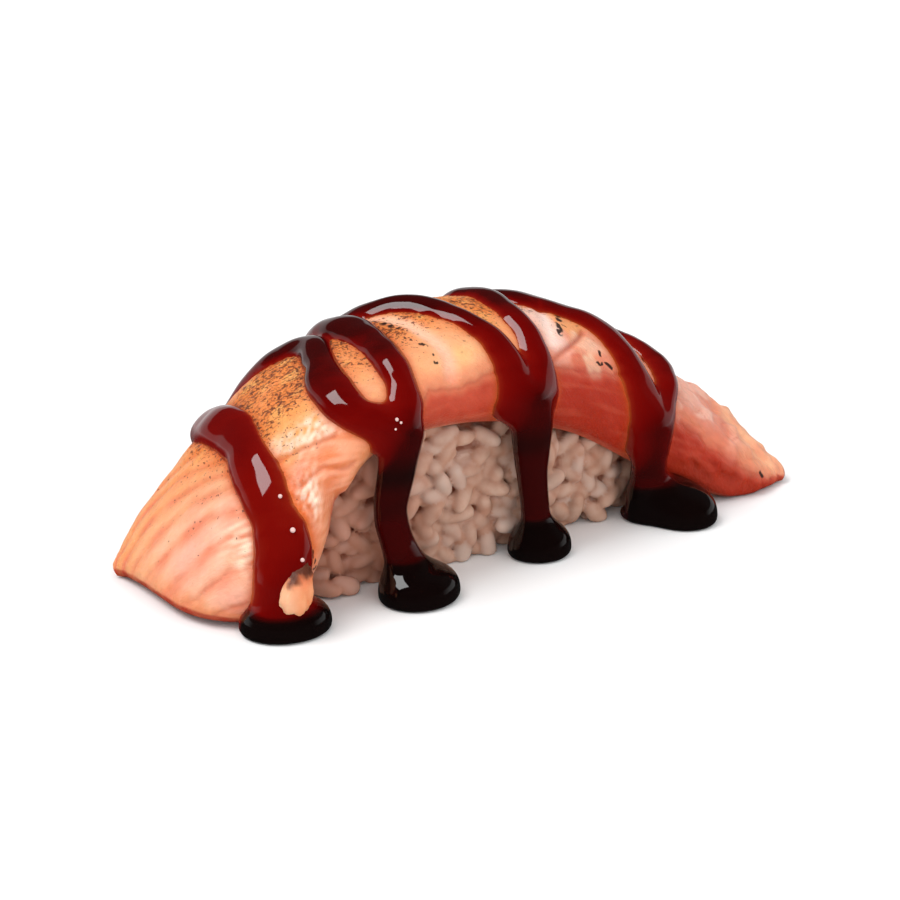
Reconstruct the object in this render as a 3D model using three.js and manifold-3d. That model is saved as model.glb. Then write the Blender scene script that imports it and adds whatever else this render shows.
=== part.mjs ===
// Seared salmon nigiri: a torched slice of salmon draped over a pressed block of
// rice, with one thin bead of dark sauce laid in a zigzag across it, running off
// the front edge in drips that end in small pools.
//
// Millimetres, +Z up, +X along the slice. The camera side of the piece is -Y.
// The lowest faces lie on z = 0 and the box of the whole is centred on X and Y.
//
// Three closed bodies: salmon, rice, sauce. They keep CLEAR between each other.

import * as THREE from 'three';
import { mergeVertices } from 'three/addons/utils/BufferGeometryUtils.js';
import Module from 'manifold-3d';

const wasm = await Module();
wasm.setup();

// ---------------------------------------------------------------- driving sizes

const CLEAR = 0.3;            // gap kept between bodies that touch in life

// Slice of fish. Three rails run along the middle of its thickness: the ridge
// (on y = 0), the front edge and the back edge. One row per station, from the
// left tail to the right tail.
//          ridge x, z      front x, y, z         back x, y, z
const STATIONS = [
  [-50.3,  1.6,   -41.1, -12.0,  1.2,   -51.2, 12.5,  0.9],
  [-45.3,  8.9,   -38.6, -14.8,  1.7,   -46.2, 14.3,  2.2],
  [-37.5, 18.2,   -34.5, -14.5,  8.0,   -37.8, 14.0,  8.0],
  [-25.3, 27.8,   -24.6, -13.1, 21.5,   -25.0, 13.2, 16.0],
  [ -7.3, 32.2,    -8.0, -12.3, 23.0,    -7.8, 12.7, 20.3],
  [ 10.7, 29.5,    10.7, -12.3, 17.7,    10.8, 12.8, 18.6],
  [ 27.0, 21.6,    25.5, -13.5,  8.6,    26.0, 13.5, 11.4],
  [ 41.7, 11.7,    39.6, -16.2,  1.2,    39.8, 13.0,  4.5],
  [ 52.6,  2.4,    50.5, -15.4,  0.9,    49.0,  8.5,  1.2],
];
const BODY_T = 7.0;           // thickness of the slice over the rice
const TAIL_T = 3.0;           // thickness near the two tips
const TAPER = 3.2;            // how late the thickness falls off towards the tips
const FLARE = 45;             // degrees the slice opens outwards at its long edges
const LEAN = 0.85;            // how far the thickness follows the slope of the ridge
const ARCH_Y = 0.92;          // fullness of the cross section's shoulders
const ARCH_Z = 1.15;          // flatness of its crown
const EDGE_N = 10;            // bluntness of the long edges
const TIP_N = 52;             // bluntness of the tips
const SLICE_U = 34;           // divisions along the slice
const SLICE_V = 18;           // divisions across the slice

// Rice block: pressed by hand, so its outline is lumpy at the scale of a grain.
const RICE_U = [0.262, 0.765]; // stretch of the slice that the block fills
const RICE_X = [-33.2, 28.8];  // its two ends on the floor
const RICE_HALF = 10.9;        // half width at the floor
const RICE_BULGE = 0.7;        // how far the sides swell at mid height
const RICE_TOP_HALF = 10.4;    // half width under the fish
const GRAIN_LUMP = 0.6;        // depth of the lumps
const GRAIN_PITCH = 5.2;       // distance from lump to lump

// Sauce: one bead, about twice as wide as it stands proud.
const BEAD_HALF = 3.1;         // half width of the bead
const BEAD_UP = 1.9;           // how far it stands above the fish
const BEAD_DOWN = 1.1;         // how far its section is carried into the fish
const BEAD_STEP = 2.8;         // distance between sections
const BEAD_SIDES = 8;
// Passes of the zigzag in slice coordinates (u along, v across, -1 front, 1 back),
// with the bead's width there as a share of BEAD_HALF.
const PASSES = [
  [[0.118,-0.87,1.1],[0.156,-0.83,1.22],[0.203,-0.76,1.32],[0.226,-0.66,1.22],[0.234,-0.55,1.05],[0.243,-0.42,1.15],[0.253,-0.24,1.12],[0.267,-0.08,1.05],[0.277,0.14,1.15],[0.284,0.38,1.15],[0.294,0.6,1.05],[0.312,0.78,1],[0.338,0.86,0.95],[0.362,0.76,0.9]],
  [[0.352,0.8,0.85],[0.374,0.62,0.85],[0.388,0.44,0.85],[0.4,0.2,0.8],[0.387,-0.04,0.8],[0.374,-0.26,1],[0.37,-0.48,0.95],[0.376,-0.7,0.88],[0.4,-0.92,1.05]],
  [[0.398,-0.95,1],[0.421,-0.88,1],[0.429,-0.66,0.74],[0.431,-0.5,0.76],[0.436,-0.22,0.82],[0.438,0.08,0.92],[0.436,0.36,0.88],[0.44,0.6,0.85],[0.455,0.78,0.85]],
  [[0.448,0.8,0.85],[0.463,0.52,0.8],[0.478,0.28,0.8],[0.498,0.12,0.8],[0.519,-0.1,0.78],[0.53,-0.32,0.7],[0.54,-0.52,0.72],[0.546,-0.7,0.9],[0.55,-0.94,1.1]],
  [[0.552,-0.96,1.15],[0.572,-0.93,1.2],[0.579,-0.74,0.95],[0.583,-0.54,0.78],[0.583,-0.34,0.74],[0.586,-0.08,0.76],[0.588,0.18,0.8],[0.584,0.44,0.85],[0.588,0.66,0.85],[0.602,0.78,0.85]],
  [[0.594,0.8,0.85],[0.608,0.56,0.85],[0.616,0.36,0.9],[0.627,0.18,0.95],[0.647,0.02,1.05],[0.68,-0.06,1.05],[0.703,-0.24,1],[0.712,-0.48,0.98],[0.718,-0.7,1.1],[0.73,-0.95,1.1]],
  [[0.728,-0.95,1],[0.742,-0.8,0.85],[0.76,-0.6,0.7],[0.774,-0.38,0.72],[0.778,-0.16,0.8],[0.766,0.16,0.85],[0.76,0.42,0.85],[0.766,0.62,0.8]],
];
// Drips from the front edge down to the pools: x, y, z, half width.
const DRIPS = [
  [[-40.9,-16.2,7.0,3.0],[-41.0,-16.6,4.0,3.1],[-40.4,-16.0,1.6,3.4]],
  [[-20.2,-14.6,24.0,3.4],[-21.4,-15.0,18.8,2.9],[-22.4,-14.9,13.0,2.6],[-21.6,-15.4,8.2,2.6],[-20.2,-16.2,3.6,3.2],[-19.8,-16.8,1.6,3.2]],
  [[1.8,-14.4,23.6,3.5],[2.1,-14.7,20.6,3.3],[1.9,-15.0,17.6,3.0],[2.2,-14.8,13.0,2.5],[2.8,-14.8,7.6,2.3],[3.4,-14.6,3.2,2.6],[3.6,-14.6,1.6,2.8]],
  [[24.0,-15.0,14.5,3.2],[24.0,-14.9,10.5,3.0],[24.6,-14.2,6.5,3.0],[25.6,-13.6,3.0,3.2],[26.0,-13.4,1.6,3.2]],
];
const DRIP_FLAT = 0.72;        // depth of a drip over its width
// Pools on the floor: x, y, radius along, radius across, turn in degrees, height.
const POOLS = [
  [-40.0,-15.2, 6.3, 5.2, -18, 3.1],
  [-19.2,-17.4, 5.9, 5.2,  10, 3.3],
  [  3.7,-14.9, 4.5, 4.2,   0, 2.9],
  [ 26.4,-13.4, 4.9, 4.4,   0, 4.4],
  [ 28.9,-15.6, 4.3, 4.1,   0, 3.4],
  [ 28.8,-18.7, 4.1, 3.8,   0, 2.9],
];
const POOL_SIDES = 18;

// ---------------------------------------------------------------- small helpers

const lerp = (a, b, t) => a + (b - a) * t;
const clamp = (x, a, b) => Math.min(b, Math.max(a, x));
const softFloor = (z, k = 0.4) => { const s = z - 0.45; return s > k ? s : s < -k ? 0 : (s + k) ** 2 / (4 * k); };

// Smooth curve through rows of numbers, with its slope.
function rail(rows, t) {
  const n = rows.length - 1;
  const x = clamp(t, 0, 1) * n;
  const i = Math.min(Math.floor(x), n - 1);
  const f = x - i;
  const value = [], slope = [];
  for (let c = 0; c < rows[0].length; c++) {
    const p1 = rows[i][c], p2 = rows[i + 1][c];
    const p0 = i > 0 ? rows[i - 1][c] : 2 * p1 - p2;
    const p3 = i + 2 <= n ? rows[i + 2][c] : 2 * p2 - p1;
    const a = -p0 + p2, b = 2 * p0 - 5 * p1 + 4 * p2 - p3, d = -p0 + 3 * p1 - 3 * p2 + p3;
    value.push(0.5 * (2 * p1 + a * f + b * f * f + d * f * f * f));
    slope.push(0.5 * (a + 2 * b * f + 3 * d * f * f));
  }
  return { value, slope };
}

// Closed mesh from rings of equal length, capped at both ends by a fan.
function fromRings(rings) {
  const m = rings[0].length, n = rings.length, pos = [], idx = [];
  rings.forEach((r) => r.forEach((p) => pos.push(p.x, p.y, p.z)));
  for (let i = 0; i + 1 < n; i++) {
    for (let j = 0; j < m; j++) {
      const a = i * m + j, b = i * m + (j + 1) % m, c = a + m, d = b + m;
      idx.push(a, b, d, a, d, c);
    }
  }
  for (const [i, flip] of [[0, true], [n - 1, false]]) {
    const mid = rings[i].reduce((s, p) => s.add(p), new THREE.Vector3()).divideScalar(m);
    const c = pos.length / 3;
    pos.push(mid.x, mid.y, mid.z);
    for (let j = 0; j < m; j++) {
      const a = i * m + j, b = i * m + (j + 1) % m;
      flip ? idx.push(c, b, a) : idx.push(c, a, b);
    }
  }
  const g = new THREE.BufferGeometry();
  g.setAttribute('position', new THREE.Float32BufferAttribute(pos, 3));
  g.setIndex(idx);
  return g;
}

function signedVolume(pos, idx) {
  let v = 0;
  for (let i = 0; i < idx.length; i += 3) {
    const [a, b, c] = [idx[i] * 3, idx[i + 1] * 3, idx[i + 2] * 3];
    v += pos[a] * (pos[b + 1] * pos[c + 2] - pos[b + 2] * pos[c + 1])
       - pos[a + 1] * (pos[b] * pos[c + 2] - pos[b + 2] * pos[c])
       + pos[a + 2] * (pos[b] * pos[c + 1] - pos[b + 1] * pos[c]);
  }
  return v / 6;
}

function toSolid(geometry) {
  const g = geometry.clone();
  for (const k of Object.keys(g.attributes)) if (k !== 'position') g.deleteAttribute(k);
  const merged = mergeVertices(g, 1e-4);
  const pos = new Float32Array(merged.attributes.position.array);
  const idx = [];
  const src = merged.index.array;
  for (let i = 0; i < src.length; i += 3) {
    const [a, b, c] = [src[i], src[i + 1], src[i + 2]];
    if (a !== b && b !== c && c !== a) idx.push(a, b, c);
  }
  if (signedVolume(pos, idx) < 0) {
    for (let i = 0; i < idx.length; i += 3) [idx[i + 1], idx[i + 2]] = [idx[i + 2], idx[i + 1]];
  }
  return new wasm.Manifold(new wasm.Mesh({
    numProp: 3, vertProperties: pos, triVerts: new Uint32Array(idx),
  }));
}

// The same closed mesh with every corner moved out along its normal.
function grown(geometry, distance) {
  const g = geometry.clone();
  g.computeVertexNormals();
  const p = g.attributes.position, n = g.attributes.normal;
  for (let i = 0; i < p.count; i++) {
    p.setXYZ(i, p.getX(i) + n.getX(i) * distance, p.getY(i) + n.getY(i) * distance, p.getZ(i) + n.getZ(i) * distance);
  }
  g.deleteAttribute('normal');
  return g;
}

// Back to a geometry, keeping only the largest connected piece.
function toGeometry(solid) {
  const mesh = solid.getMesh();
  const stride = mesh.numProp, count = mesh.vertProperties.length / stride;
  const parent = Array.from({ length: count }, (_, i) => i);
  const find = (i) => { while (parent[i] !== i) i = parent[i] = parent[parent[i]]; return i; };
  const tri = mesh.triVerts;
  for (let i = 0; i < tri.length; i += 3) {
    parent[find(tri[i])] = find(tri[i + 1]);
    parent[find(tri[i + 1])] = find(tri[i + 2]);
  }
  const tally = new Map();
  for (let i = 0; i < tri.length; i += 3) {
    const r = find(tri[i]);
    tally.set(r, (tally.get(r) || 0) + 1);
  }
  const best = [...tally.entries()].sort((a, b) => b[1] - a[1])[0][0];
  const map = new Map(), pos = [], idx = [];
  for (let i = 0; i < tri.length; i++) {
    const v = tri[i];
    if (find(v) !== best) continue;
    if (!map.has(v)) {
      map.set(v, pos.length / 3);
      pos.push(mesh.vertProperties[v * stride], mesh.vertProperties[v * stride + 1], mesh.vertProperties[v * stride + 2]);
    }
    idx.push(map.get(v));
  }
  const g = new THREE.BufferGeometry();
  g.setAttribute('position', new THREE.Float32BufferAttribute(pos, 3));
  g.setIndex(idx);
  return g;
}

// ---------------------------------------------------------------- the slice

// Point on the middle of the slice, the direction of its thickness, and the
// thickness.
function slicePoint(u, v) {
  const { value: r, slope: s } = rail(STATIONS, u);
  const q = Math.abs(v), side = v < 0 ? -1 : 1;
  const e = v < 0 ? [r[2], r[3], r[4]] : [r[5], r[6], r[7]];
  const sy = Math.sin(q * Math.PI / 2) ** ARCH_Y;
  const sz = (1 - Math.cos(q * Math.PI / 2)) ** ARCH_Z;
  const p = new THREE.Vector3(
    r[0] + (e[0] - r[0]) * sz,
    e[1] * sy,
    r[1] + (e[2] - r[1]) * sz,
  );
  const lean = LEAN * Math.atan2(s[1], s[0]);
  const flare = THREE.MathUtils.degToRad(FLARE) * q * q;
  const d = new THREE.Vector3(
    -Math.sin(lean) * Math.cos(flare), side * Math.sin(flare), Math.cos(lean) * Math.cos(flare),
  );
  const t = TAIL_T + (BODY_T - TAIL_T) * (1 - Math.abs(2 * u - 1) ** TAPER);
  return { p, d, t };
}

function sliceSkin(u, v, face) {
  const { p, d, t } = slicePoint(u, v);
  const blunt = Math.max(0, 1 - Math.abs(v) ** EDGE_N) ** (1 / 2.2)
              * Math.max(0, 1 - Math.abs(2 * u - 1) ** TIP_N) ** (1 / 2.2);
  p.addScaledVector(d, face * t / 2 * blunt);
  p.z = softFloor(p.z);
  return p;
}

function sliceGeometry() {
  const nu = SLICE_U, nv = SLICE_V, pos = [], idx = [];
  const uAt = (i) => lerp(i / nu, (1 - Math.cos(Math.PI * i / nu)) / 2, 0.3);
  const vAt = (j) => lerp(2 * j / nv - 1, Math.sin(Math.PI * (j / nv - 0.5)), 0.5);
  const id = {};
  for (const face of [1, -1]) {
    for (let i = 0; i <= nu; i++) {
      for (let j = 0; j <= nv; j++) {
        const rim = i === 0 || i === nu || j === 0 || j === nv;
        const key = `${rim ? 0 : face}_${i}_${j}`;
        if (id[key] !== undefined) continue;
        id[key] = pos.length / 3;
        const p = sliceSkin(uAt(i), vAt(j), face);
        pos.push(p.x, p.y, p.z);
      }
    }
    for (let i = 0; i < nu; i++) {
      for (let j = 0; j < nv; j++) {
        const at = (a, b) => {
          const rim = a === 0 || a === nu || b === 0 || b === nv;
          return id[`${rim ? 0 : face}_${a}_${b}`];
        };
        const [a, b, c, d] = [at(i, j), at(i + 1, j), at(i + 1, j + 1), at(i, j + 1)];
        face > 0 ? idx.push(a, b, c, a, c, d) : idx.push(a, c, b, a, d, c);
      }
    }
  }
  const g = new THREE.BufferGeometry();
  g.setAttribute('position', new THREE.Float32BufferAttribute(pos, 3));
  g.setIndex(idx);
  return g;
}

// ---------------------------------------------------------------- the rice

function lump(x, y, z) {
  const k = 2 * Math.PI / GRAIN_PITCH;
  return GRAIN_LUMP * (Math.sin(k * x + 1.3 * Math.sin(k * 0.7 * z)) * Math.cos(k * 0.9 * z + 0.6 * y)
       + 0.6 * Math.sin(k * 0.61 * x - k * 0.83 * z + 2.1));
}

function riceGeometry() {
  const rings = [], sections = 27, topN = 8, sideN = 7, baseN = 5;
  for (let i = 0; i <= sections; i++) {
    const f = i / sections;
    const u = lerp(RICE_U[0], RICE_U[1], f);
    const xb = lerp(RICE_X[0], RICE_X[1], f);
    const end = 1 - Math.abs(2 * f - 1) ** 5;          // corners of the block in plan
    const half = RICE_HALF * (0.60 + 0.40 * end);
    const topHalf = RICE_TOP_HALF * (0.66 + 0.34 * end);
    const ring = [];
    const top = (s) => {
      // v at which the middle of the slice stands at |y| = topHalf
      let lo = 0, hi = 1;
      for (let k = 0; k < 24; k++) {
        const m = (lo + hi) / 2;
        Math.abs(slicePoint(u, s * m).p.y) < topHalf ? (lo = m) : (hi = m);
      }
      return s * lo;
    };
    const vf = top(-1), vb = top(1);
    for (let j = 0; j <= topN; j++) ring.push(slicePoint(u, lerp(vf, vb, j / topN)).p);
    const wall = (s, k) => {
      const from = slicePoint(u, s < 0 ? vf : vb).p;
      const t = k / (sideN + 1);                        // 0 at the fish, 1 at the floor
      const z = from.z * (1 - t);
      const x = lerp(from.x, xb, t ** 0.8);
      const swell = RICE_BULGE * Math.sin(Math.PI * t) + lump(x, s * 3, z) * Math.sin(Math.PI * clamp(t, 0, 0.94)) ** 0.5;
      return new THREE.Vector3(x, s * (lerp(topHalf, half, t) + swell), z);
    };
    for (let k = 1; k <= sideN; k++) ring.push(wall(1, k));
    for (let j = 0; j <= baseN; j++) ring.push(new THREE.Vector3(xb, lerp(half, -half, j / baseN) * 0.97, 0));
    for (let k = sideN; k >= 1; k--) ring.push(wall(-1, k));
    rings.push(ring);
  }
  return fromRings(rings);
}

// ---------------------------------------------------------------- the sauce

function skinFrame(u, v) {
  const h = 0.004;
  const p = sliceSkin(u, v, 1);
  const du = sliceSkin(u + h, v, 1).sub(sliceSkin(u - h, v, 1));
  const dv = sliceSkin(u, Math.min(v + h, 0.999), 1).sub(sliceSkin(u, Math.max(v - h, -0.999), 1));
  return { p, n: du.cross(dv).normalize() };
}

// Sweep of a rounded section along points that each carry an outward normal.
// up and down are the section's reach along the normal.
function bead(stations) {
  const n = stations.length, rings = [];
  for (let i = 0; i < n; i++) {
    const s = stations[i];
    const t = stations[Math.min(i + 1, n - 1)].p.clone().sub(stations[Math.max(i - 1, 0)].p).normalize();
    const up = s.n.clone().addScaledVector(t, -s.n.dot(t)).normalize();
    const side = t.clone().cross(up).normalize();
    const f = i / (n - 1) * (n - 1);
    const near = Math.min(f, n - 1 - f);
    const close = near < 1 ? 0.5 : near < 2 ? 0.88 : 1; // rounded ends
    const ring = [];
    for (let j = 0; j < BEAD_SIDES; j++) {
      const a = 2 * Math.PI * j / BEAD_SIDES;
      const c = Math.cos(a), d = Math.sin(a);
      const q = s.p.clone()
        .addScaledVector(side, s.w * close * Math.sign(c) * Math.abs(c) ** 0.85)
        .addScaledVector(up, (d > 0 ? s.up : s.down) * close * Math.sign(d) * Math.abs(d) ** 0.9);
      q.z = Math.max(q.z, 0.2);
      ring.push(q);
    }
    rings.push(ring);
  }
  return fromRings(rings);
}

function passStations(points) {
  const curve = new THREE.CatmullRomCurve3(
    points.map(([u, v, w]) => new THREE.Vector3(u * 105, v * 16, w)), false, 'centripetal');
  let count = Math.max(4, Math.round(curve.getLength() / BEAD_STEP));
  const out = [];
  for (let i = 0; i <= count; i++) {
    const c = curve.getPointAt(i / count);
    const { p, n } = skinFrame(c.x / 105, clamp(c.y / 16, -0.985, 0.985));
    out.push({ p, n, w: BEAD_HALF * c.z, up: BEAD_UP * Math.sqrt(c.z), down: BEAD_DOWN });
  }
  return out;
}

function dripStations(points) {
  const curve = new THREE.CatmullRomCurve3(points.map(([x, y, z]) => new THREE.Vector3(x, y, z)), false, 'centripetal');
  const width = new THREE.CatmullRomCurve3(points.map((p, i) => new THREE.Vector3(i, p[3], 0)));
  const count = Math.max(3, Math.round(curve.getLength() / BEAD_STEP));
  const out = [];
  for (let i = 0; i <= count; i++) {
    const w = width.getPoint(i / count).y;
    out.push({ p: curve.getPoint(i / count), n: new THREE.Vector3(0, -1, 0), w, up: w * DRIP_FLAT, down: w * DRIP_FLAT });
  }
  return out;
}

function poolGeometry([x, y, rx, ry, turn, h]) {
  const profile = [[0, 0], [0.9, 0], [1, 0.16], [0.985, 0.38], [0.9, 0.64], [0.7, 0.86], [0.4, 0.97], [0, 1]];
  const g = new THREE.LatheGeometry(profile.map(([r, z]) => new THREE.Vector2(r, z)), POOL_SIDES);
  g.rotateX(Math.PI / 2);
  g.scale(rx, ry, h);
  g.rotateZ(THREE.MathUtils.degToRad(turn));
  g.translate(x, y, 0);
  return g;
}

// ---------------------------------------------------------------- assembly

const slice = sliceGeometry();
const sliceRoom = toSolid(grown(slice, CLEAR));
const riceBlock = riceGeometry();
const rice = toGeometry(toSolid(riceBlock).subtract(sliceRoom));
const riceRoom = toSolid(grown(riceBlock, CLEAR)).add(toSolid(grown(rice, CLEAR)));

let flow = null;
const pieces = [
  ...PASSES.map((p) => bead(passStations(p))),
  ...DRIPS.map((p) => bead(dripStations(p))),
  ...POOLS.map(poolGeometry),
];
for (const g of pieces) flow = flow ? flow.add(toSolid(g)) : toSolid(g);
const sauce = toGeometry(flow.subtract(sliceRoom).subtract(riceRoom));

const group = new THREE.Group();
const bounds = new THREE.Box3();
for (const g of [slice, rice, sauce]) {
  g.computeBoundingBox();
  bounds.union(g.boundingBox);
}
const shift = new THREE.Vector3(
  -(bounds.min.x + bounds.max.x) / 2, -(bounds.min.y + bounds.max.y) / 2, -bounds.min.z);

function addPart(name, geometry, color, roughness) {
  geometry.translate(shift.x, shift.y, shift.z);
  geometry.computeVertexNormals();
  const mesh = new THREE.Mesh(geometry, new THREE.MeshStandardMaterial({ color, roughness, metalness: 0 }));
  mesh.name = name;
  group.add(mesh);
}
addPart('salmon', slice, 0xe9a070, 0.4);
addPart('rice', rice, 0xead2c2, 0.45);
addPart('sauce', sauce, 0x2c0605, 0.12);

export default group;
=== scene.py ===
import math

import bpy
import numpy as np
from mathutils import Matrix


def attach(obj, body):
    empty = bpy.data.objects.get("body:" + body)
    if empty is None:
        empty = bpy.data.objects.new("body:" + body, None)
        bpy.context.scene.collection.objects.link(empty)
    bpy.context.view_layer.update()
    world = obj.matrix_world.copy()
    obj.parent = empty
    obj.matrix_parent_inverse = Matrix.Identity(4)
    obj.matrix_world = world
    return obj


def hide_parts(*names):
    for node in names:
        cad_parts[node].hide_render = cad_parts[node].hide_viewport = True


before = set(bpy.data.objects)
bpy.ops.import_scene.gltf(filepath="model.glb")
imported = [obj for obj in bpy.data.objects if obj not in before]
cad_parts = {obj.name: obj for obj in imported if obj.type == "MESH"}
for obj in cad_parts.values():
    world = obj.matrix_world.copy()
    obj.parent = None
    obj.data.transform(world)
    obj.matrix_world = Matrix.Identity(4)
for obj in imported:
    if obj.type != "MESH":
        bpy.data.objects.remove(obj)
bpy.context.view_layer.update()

import openvdb
from mathutils import Vector
from mathutils.bvhtree import BVHTree

rng = np.random.default_rng(20)

# ------------------------------------------------------------------ the frame
# The shapes below are worked out in millimetres in the slice's own frame, and
# moved by SHIFT into the part's frame.
SHIFT = np.array([-0.7, 3.0803, 0.0])

STATIONS = np.array([
    [-50.3, 1.6, -41.1, -12.0, 1.2, -51.2, 12.5, 0.9],
    [-45.3, 8.9, -38.6, -14.8, 1.7, -46.2, 14.3, 2.2],
    [-37.5, 18.2, -34.5, -14.5, 8.0, -37.8, 14.0, 8.0],
    [-25.3, 27.8, -24.6, -13.1, 21.5, -25.0, 13.2, 16.0],
    [-7.3, 32.2, -8.0, -12.3, 23.0, -7.8, 12.7, 20.3],
    [10.7, 29.5, 10.7, -12.3, 17.7, 10.8, 12.8, 18.6],
    [27.0, 21.6, 25.5, -13.5, 8.6, 26.0, 13.5, 11.4],
    [41.7, 11.7, 39.6, -16.2, 1.2, 39.8, 13.0, 4.5],
    [52.6, 2.4, 50.5, -15.4, 0.9, 49.0, 8.5, 1.2],
])
BODY_T, TAIL_T, TAPER, FLARE, LEAN = 7.0, 3.0, 3.2, 45.0, 0.85
ARCH_Y, ARCH_Z, EDGE_N, TIP_N = 0.92, 1.15, 10, 52
BEAD_HALF, BEAD_UP = 3.1, 1.9


def rail(T, x):
    n = len(T) - 1
    x = np.clip(x, 0, 1) * n
    i = np.minimum(x.astype(int), n - 1)
    f = (x - i)[:, None]
    P = lambda k: T[np.clip(k, 0, n)]
    p0, p1, p2, p3 = P(i - 1), P(i), P(i + 1), P(i + 2)
    p0 = np.where((i == 0)[:, None], 2 * p1 - p2, p0)
    p3 = np.where((i == n - 1)[:, None], 2 * p2 - p1, p3)
    a, b, d = -p0 + p2, 2 * p0 - 5 * p1 + 4 * p2 - p3, -p0 + 3 * p1 - 3 * p2 + p3
    return (0.5 * (2 * p1 + a * f + b * f ** 2 + d * f ** 3),
            0.5 * (a + 2 * b * f + 3 * d * f ** 2))


def soft_floor(z, k=0.4):
    s = z - 0.45
    return np.where(s > k, s, np.where(s < -k, 0.0, (s + k) ** 2 / (4 * k)))


def slice_point(u, v):
    """Middle of the slice, direction of its thickness and half thickness, for flat arrays u and v."""
    r, s = rail(STATIONS, u)
    rim = np.abs(v)
    v = v * (1 - 0.15 * np.exp(-np.abs((u - 0.313) / 0.016) ** 2.4) * (v < 0) * np.clip((rim - 0.5) / 0.5, 0, 1))
    q = np.abs(v)
    side = np.where(v < 0, -1.0, 1.0)
    e = np.where((v < 0)[:, None], r[:, 2:5], r[:, 5:8])
    sy = np.sin(q * np.pi / 2) ** ARCH_Y
    sz = (1 - np.cos(q * np.pi / 2)) ** ARCH_Z
    p = np.stack([r[:, 0] + (e[:, 0] - r[:, 0]) * sz, e[:, 1] * sy, r[:, 1] + (e[:, 2] - r[:, 1]) * sz], 1)
    lean = LEAN * np.arctan2(s[:, 1], s[:, 0])
    fl = np.radians(FLARE) * q * q
    d = np.stack([-np.sin(lean) * np.cos(fl), side * np.sin(fl), np.cos(lean) * np.cos(fl)], 1)
    t = TAIL_T + (BODY_T - TAIL_T) * (1 - np.abs(2 * u - 1) ** TAPER)
    blunt = np.clip(1 - rim ** EDGE_N, 0, 1) ** (1 / 2.2) * np.clip(1 - np.abs(2 * u - 1) ** TIP_N, 0, 1) ** (1 / 2.2)
    return p, d, t / 2 * blunt


def slice_skin(u, v, face):
    p, d, h = slice_point(u, v)
    p = p + d * (face * h)[:, None]
    p[:, 2] = soft_floor(p[:, 2])
    return p


# ------------------------------------------------------------------ noise
_G = np.array([[1, 1, 0], [-1, 1, 0], [1, -1, 0], [-1, -1, 0], [1, 0, 1], [-1, 0, 1], [1, 0, -1], [-1, 0, -1],
               [0, 1, 1], [0, -1, 1], [0, 1, -1], [0, -1, -1], [1, 1, 0], [0, -1, 1], [-1, 1, 0], [0, -1, -1]], float)


def noise(P, seed=0):
    P = np.asarray(P, float)
    I = np.floor(P).astype(np.int64)
    F = P - I
    W = F * F * F * (F * (F * 6 - 15) + 10)
    out = np.zeros(len(P))
    for dx in (0, 1):
        for dy in (0, 1):
            for dz in (0, 1):
                h = ((I[:, 0] + dx) * 374761393 + (I[:, 1] + dy) * 668265263 + (I[:, 2] + dz) * 1440662683 + seed * 1274126177) & 0xFFFFFFFF
                h = ((h ^ (h >> 13)) * 1274126177) & 0xFFFFFFFF
                g = _G[(h ^ (h >> 16)) & 15]
                w = (W[:, 0] if dx else 1 - W[:, 0]) * (W[:, 1] if dy else 1 - W[:, 1]) * (W[:, 2] if dz else 1 - W[:, 2])
                out += w * (g * (F - [dx, dy, dz])).sum(1)
    return out


def fbm(P, octaves=3, seed=0):
    a, f, s = 1.0, 1.0, 0.0
    for k in range(octaves):
        s = s + a * noise(P * f, seed + 17 * k)
        a, f = a * 0.5, f * 2.03
    return s


def step(a, b, x):
    t = np.clip((x - a) / (b - a), 0, 1)
    return t * t * (3 - 2 * t)


def bump1(x, c, w):
    return np.exp(-((x - c) / w) ** 2)


def lin(r, g, b):
    c = np.array([r, g, b]) / 255.0
    return np.where(c <= 0.04045, c / 12.92, ((c + 0.055) / 1.055) ** 2.4)


def mix(a, b, t):
    return a + (b - a) * np.asarray(t)[..., None]


def curve(points, step_mm, scale):
    """Centripetal curve through rows of numbers, sampled about every step_mm of scaled length."""
    P = np.array(points, float)
    Q = P * scale
    out = []
    Pe = np.vstack([2 * P[0] - P[1], P, 2 * P[-1] - P[-2]])
    Qe = np.vstack([2 * Q[0] - Q[1], Q, 2 * Q[-1] - Q[-2]])
    for i in range(1, len(Pe) - 2):
        k = [0.0]
        for j in range(3):
            k.append(k[-1] + max(np.linalg.norm(Qe[i + j] - Qe[i - 1 + j]), 1e-6) ** 0.5)
        n = max(2, int(np.linalg.norm(Qe[i + 1] - Qe[i]) / step_mm))
        for t in np.linspace(k[1], k[2], n, endpoint=(i == len(Pe) - 3)):
            p = Pe[i - 1:i + 3]
            a1 = (k[1] - t) / (k[1] - k[0]) * p[0] + (t - k[0]) / (k[1] - k[0]) * p[1]
            a2 = (k[2] - t) / (k[2] - k[1]) * p[1] + (t - k[1]) / (k[2] - k[1]) * p[2]
            a3 = (k[3] - t) / (k[3] - k[2]) * p[2] + (t - k[2]) / (k[3] - k[2]) * p[3]
            b1 = (k[2] - t) / (k[2] - k[0]) * a1 + (t - k[0]) / (k[2] - k[0]) * a2
            b2 = (k[3] - t) / (k[3] - k[1]) * a2 + (t - k[1]) / (k[3] - k[1]) * a3
            out.append((k[2] - t) / (k[2] - k[1]) * b1 + (t - k[1]) / (k[2] - k[1]) * b2)
    return np.array(out)


def smin(a_, b_, k):
    h = np.maximum(k - np.abs(a_ - b_), 0) / k
    return np.minimum(a_, b_) - h * h * k * 0.25


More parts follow.
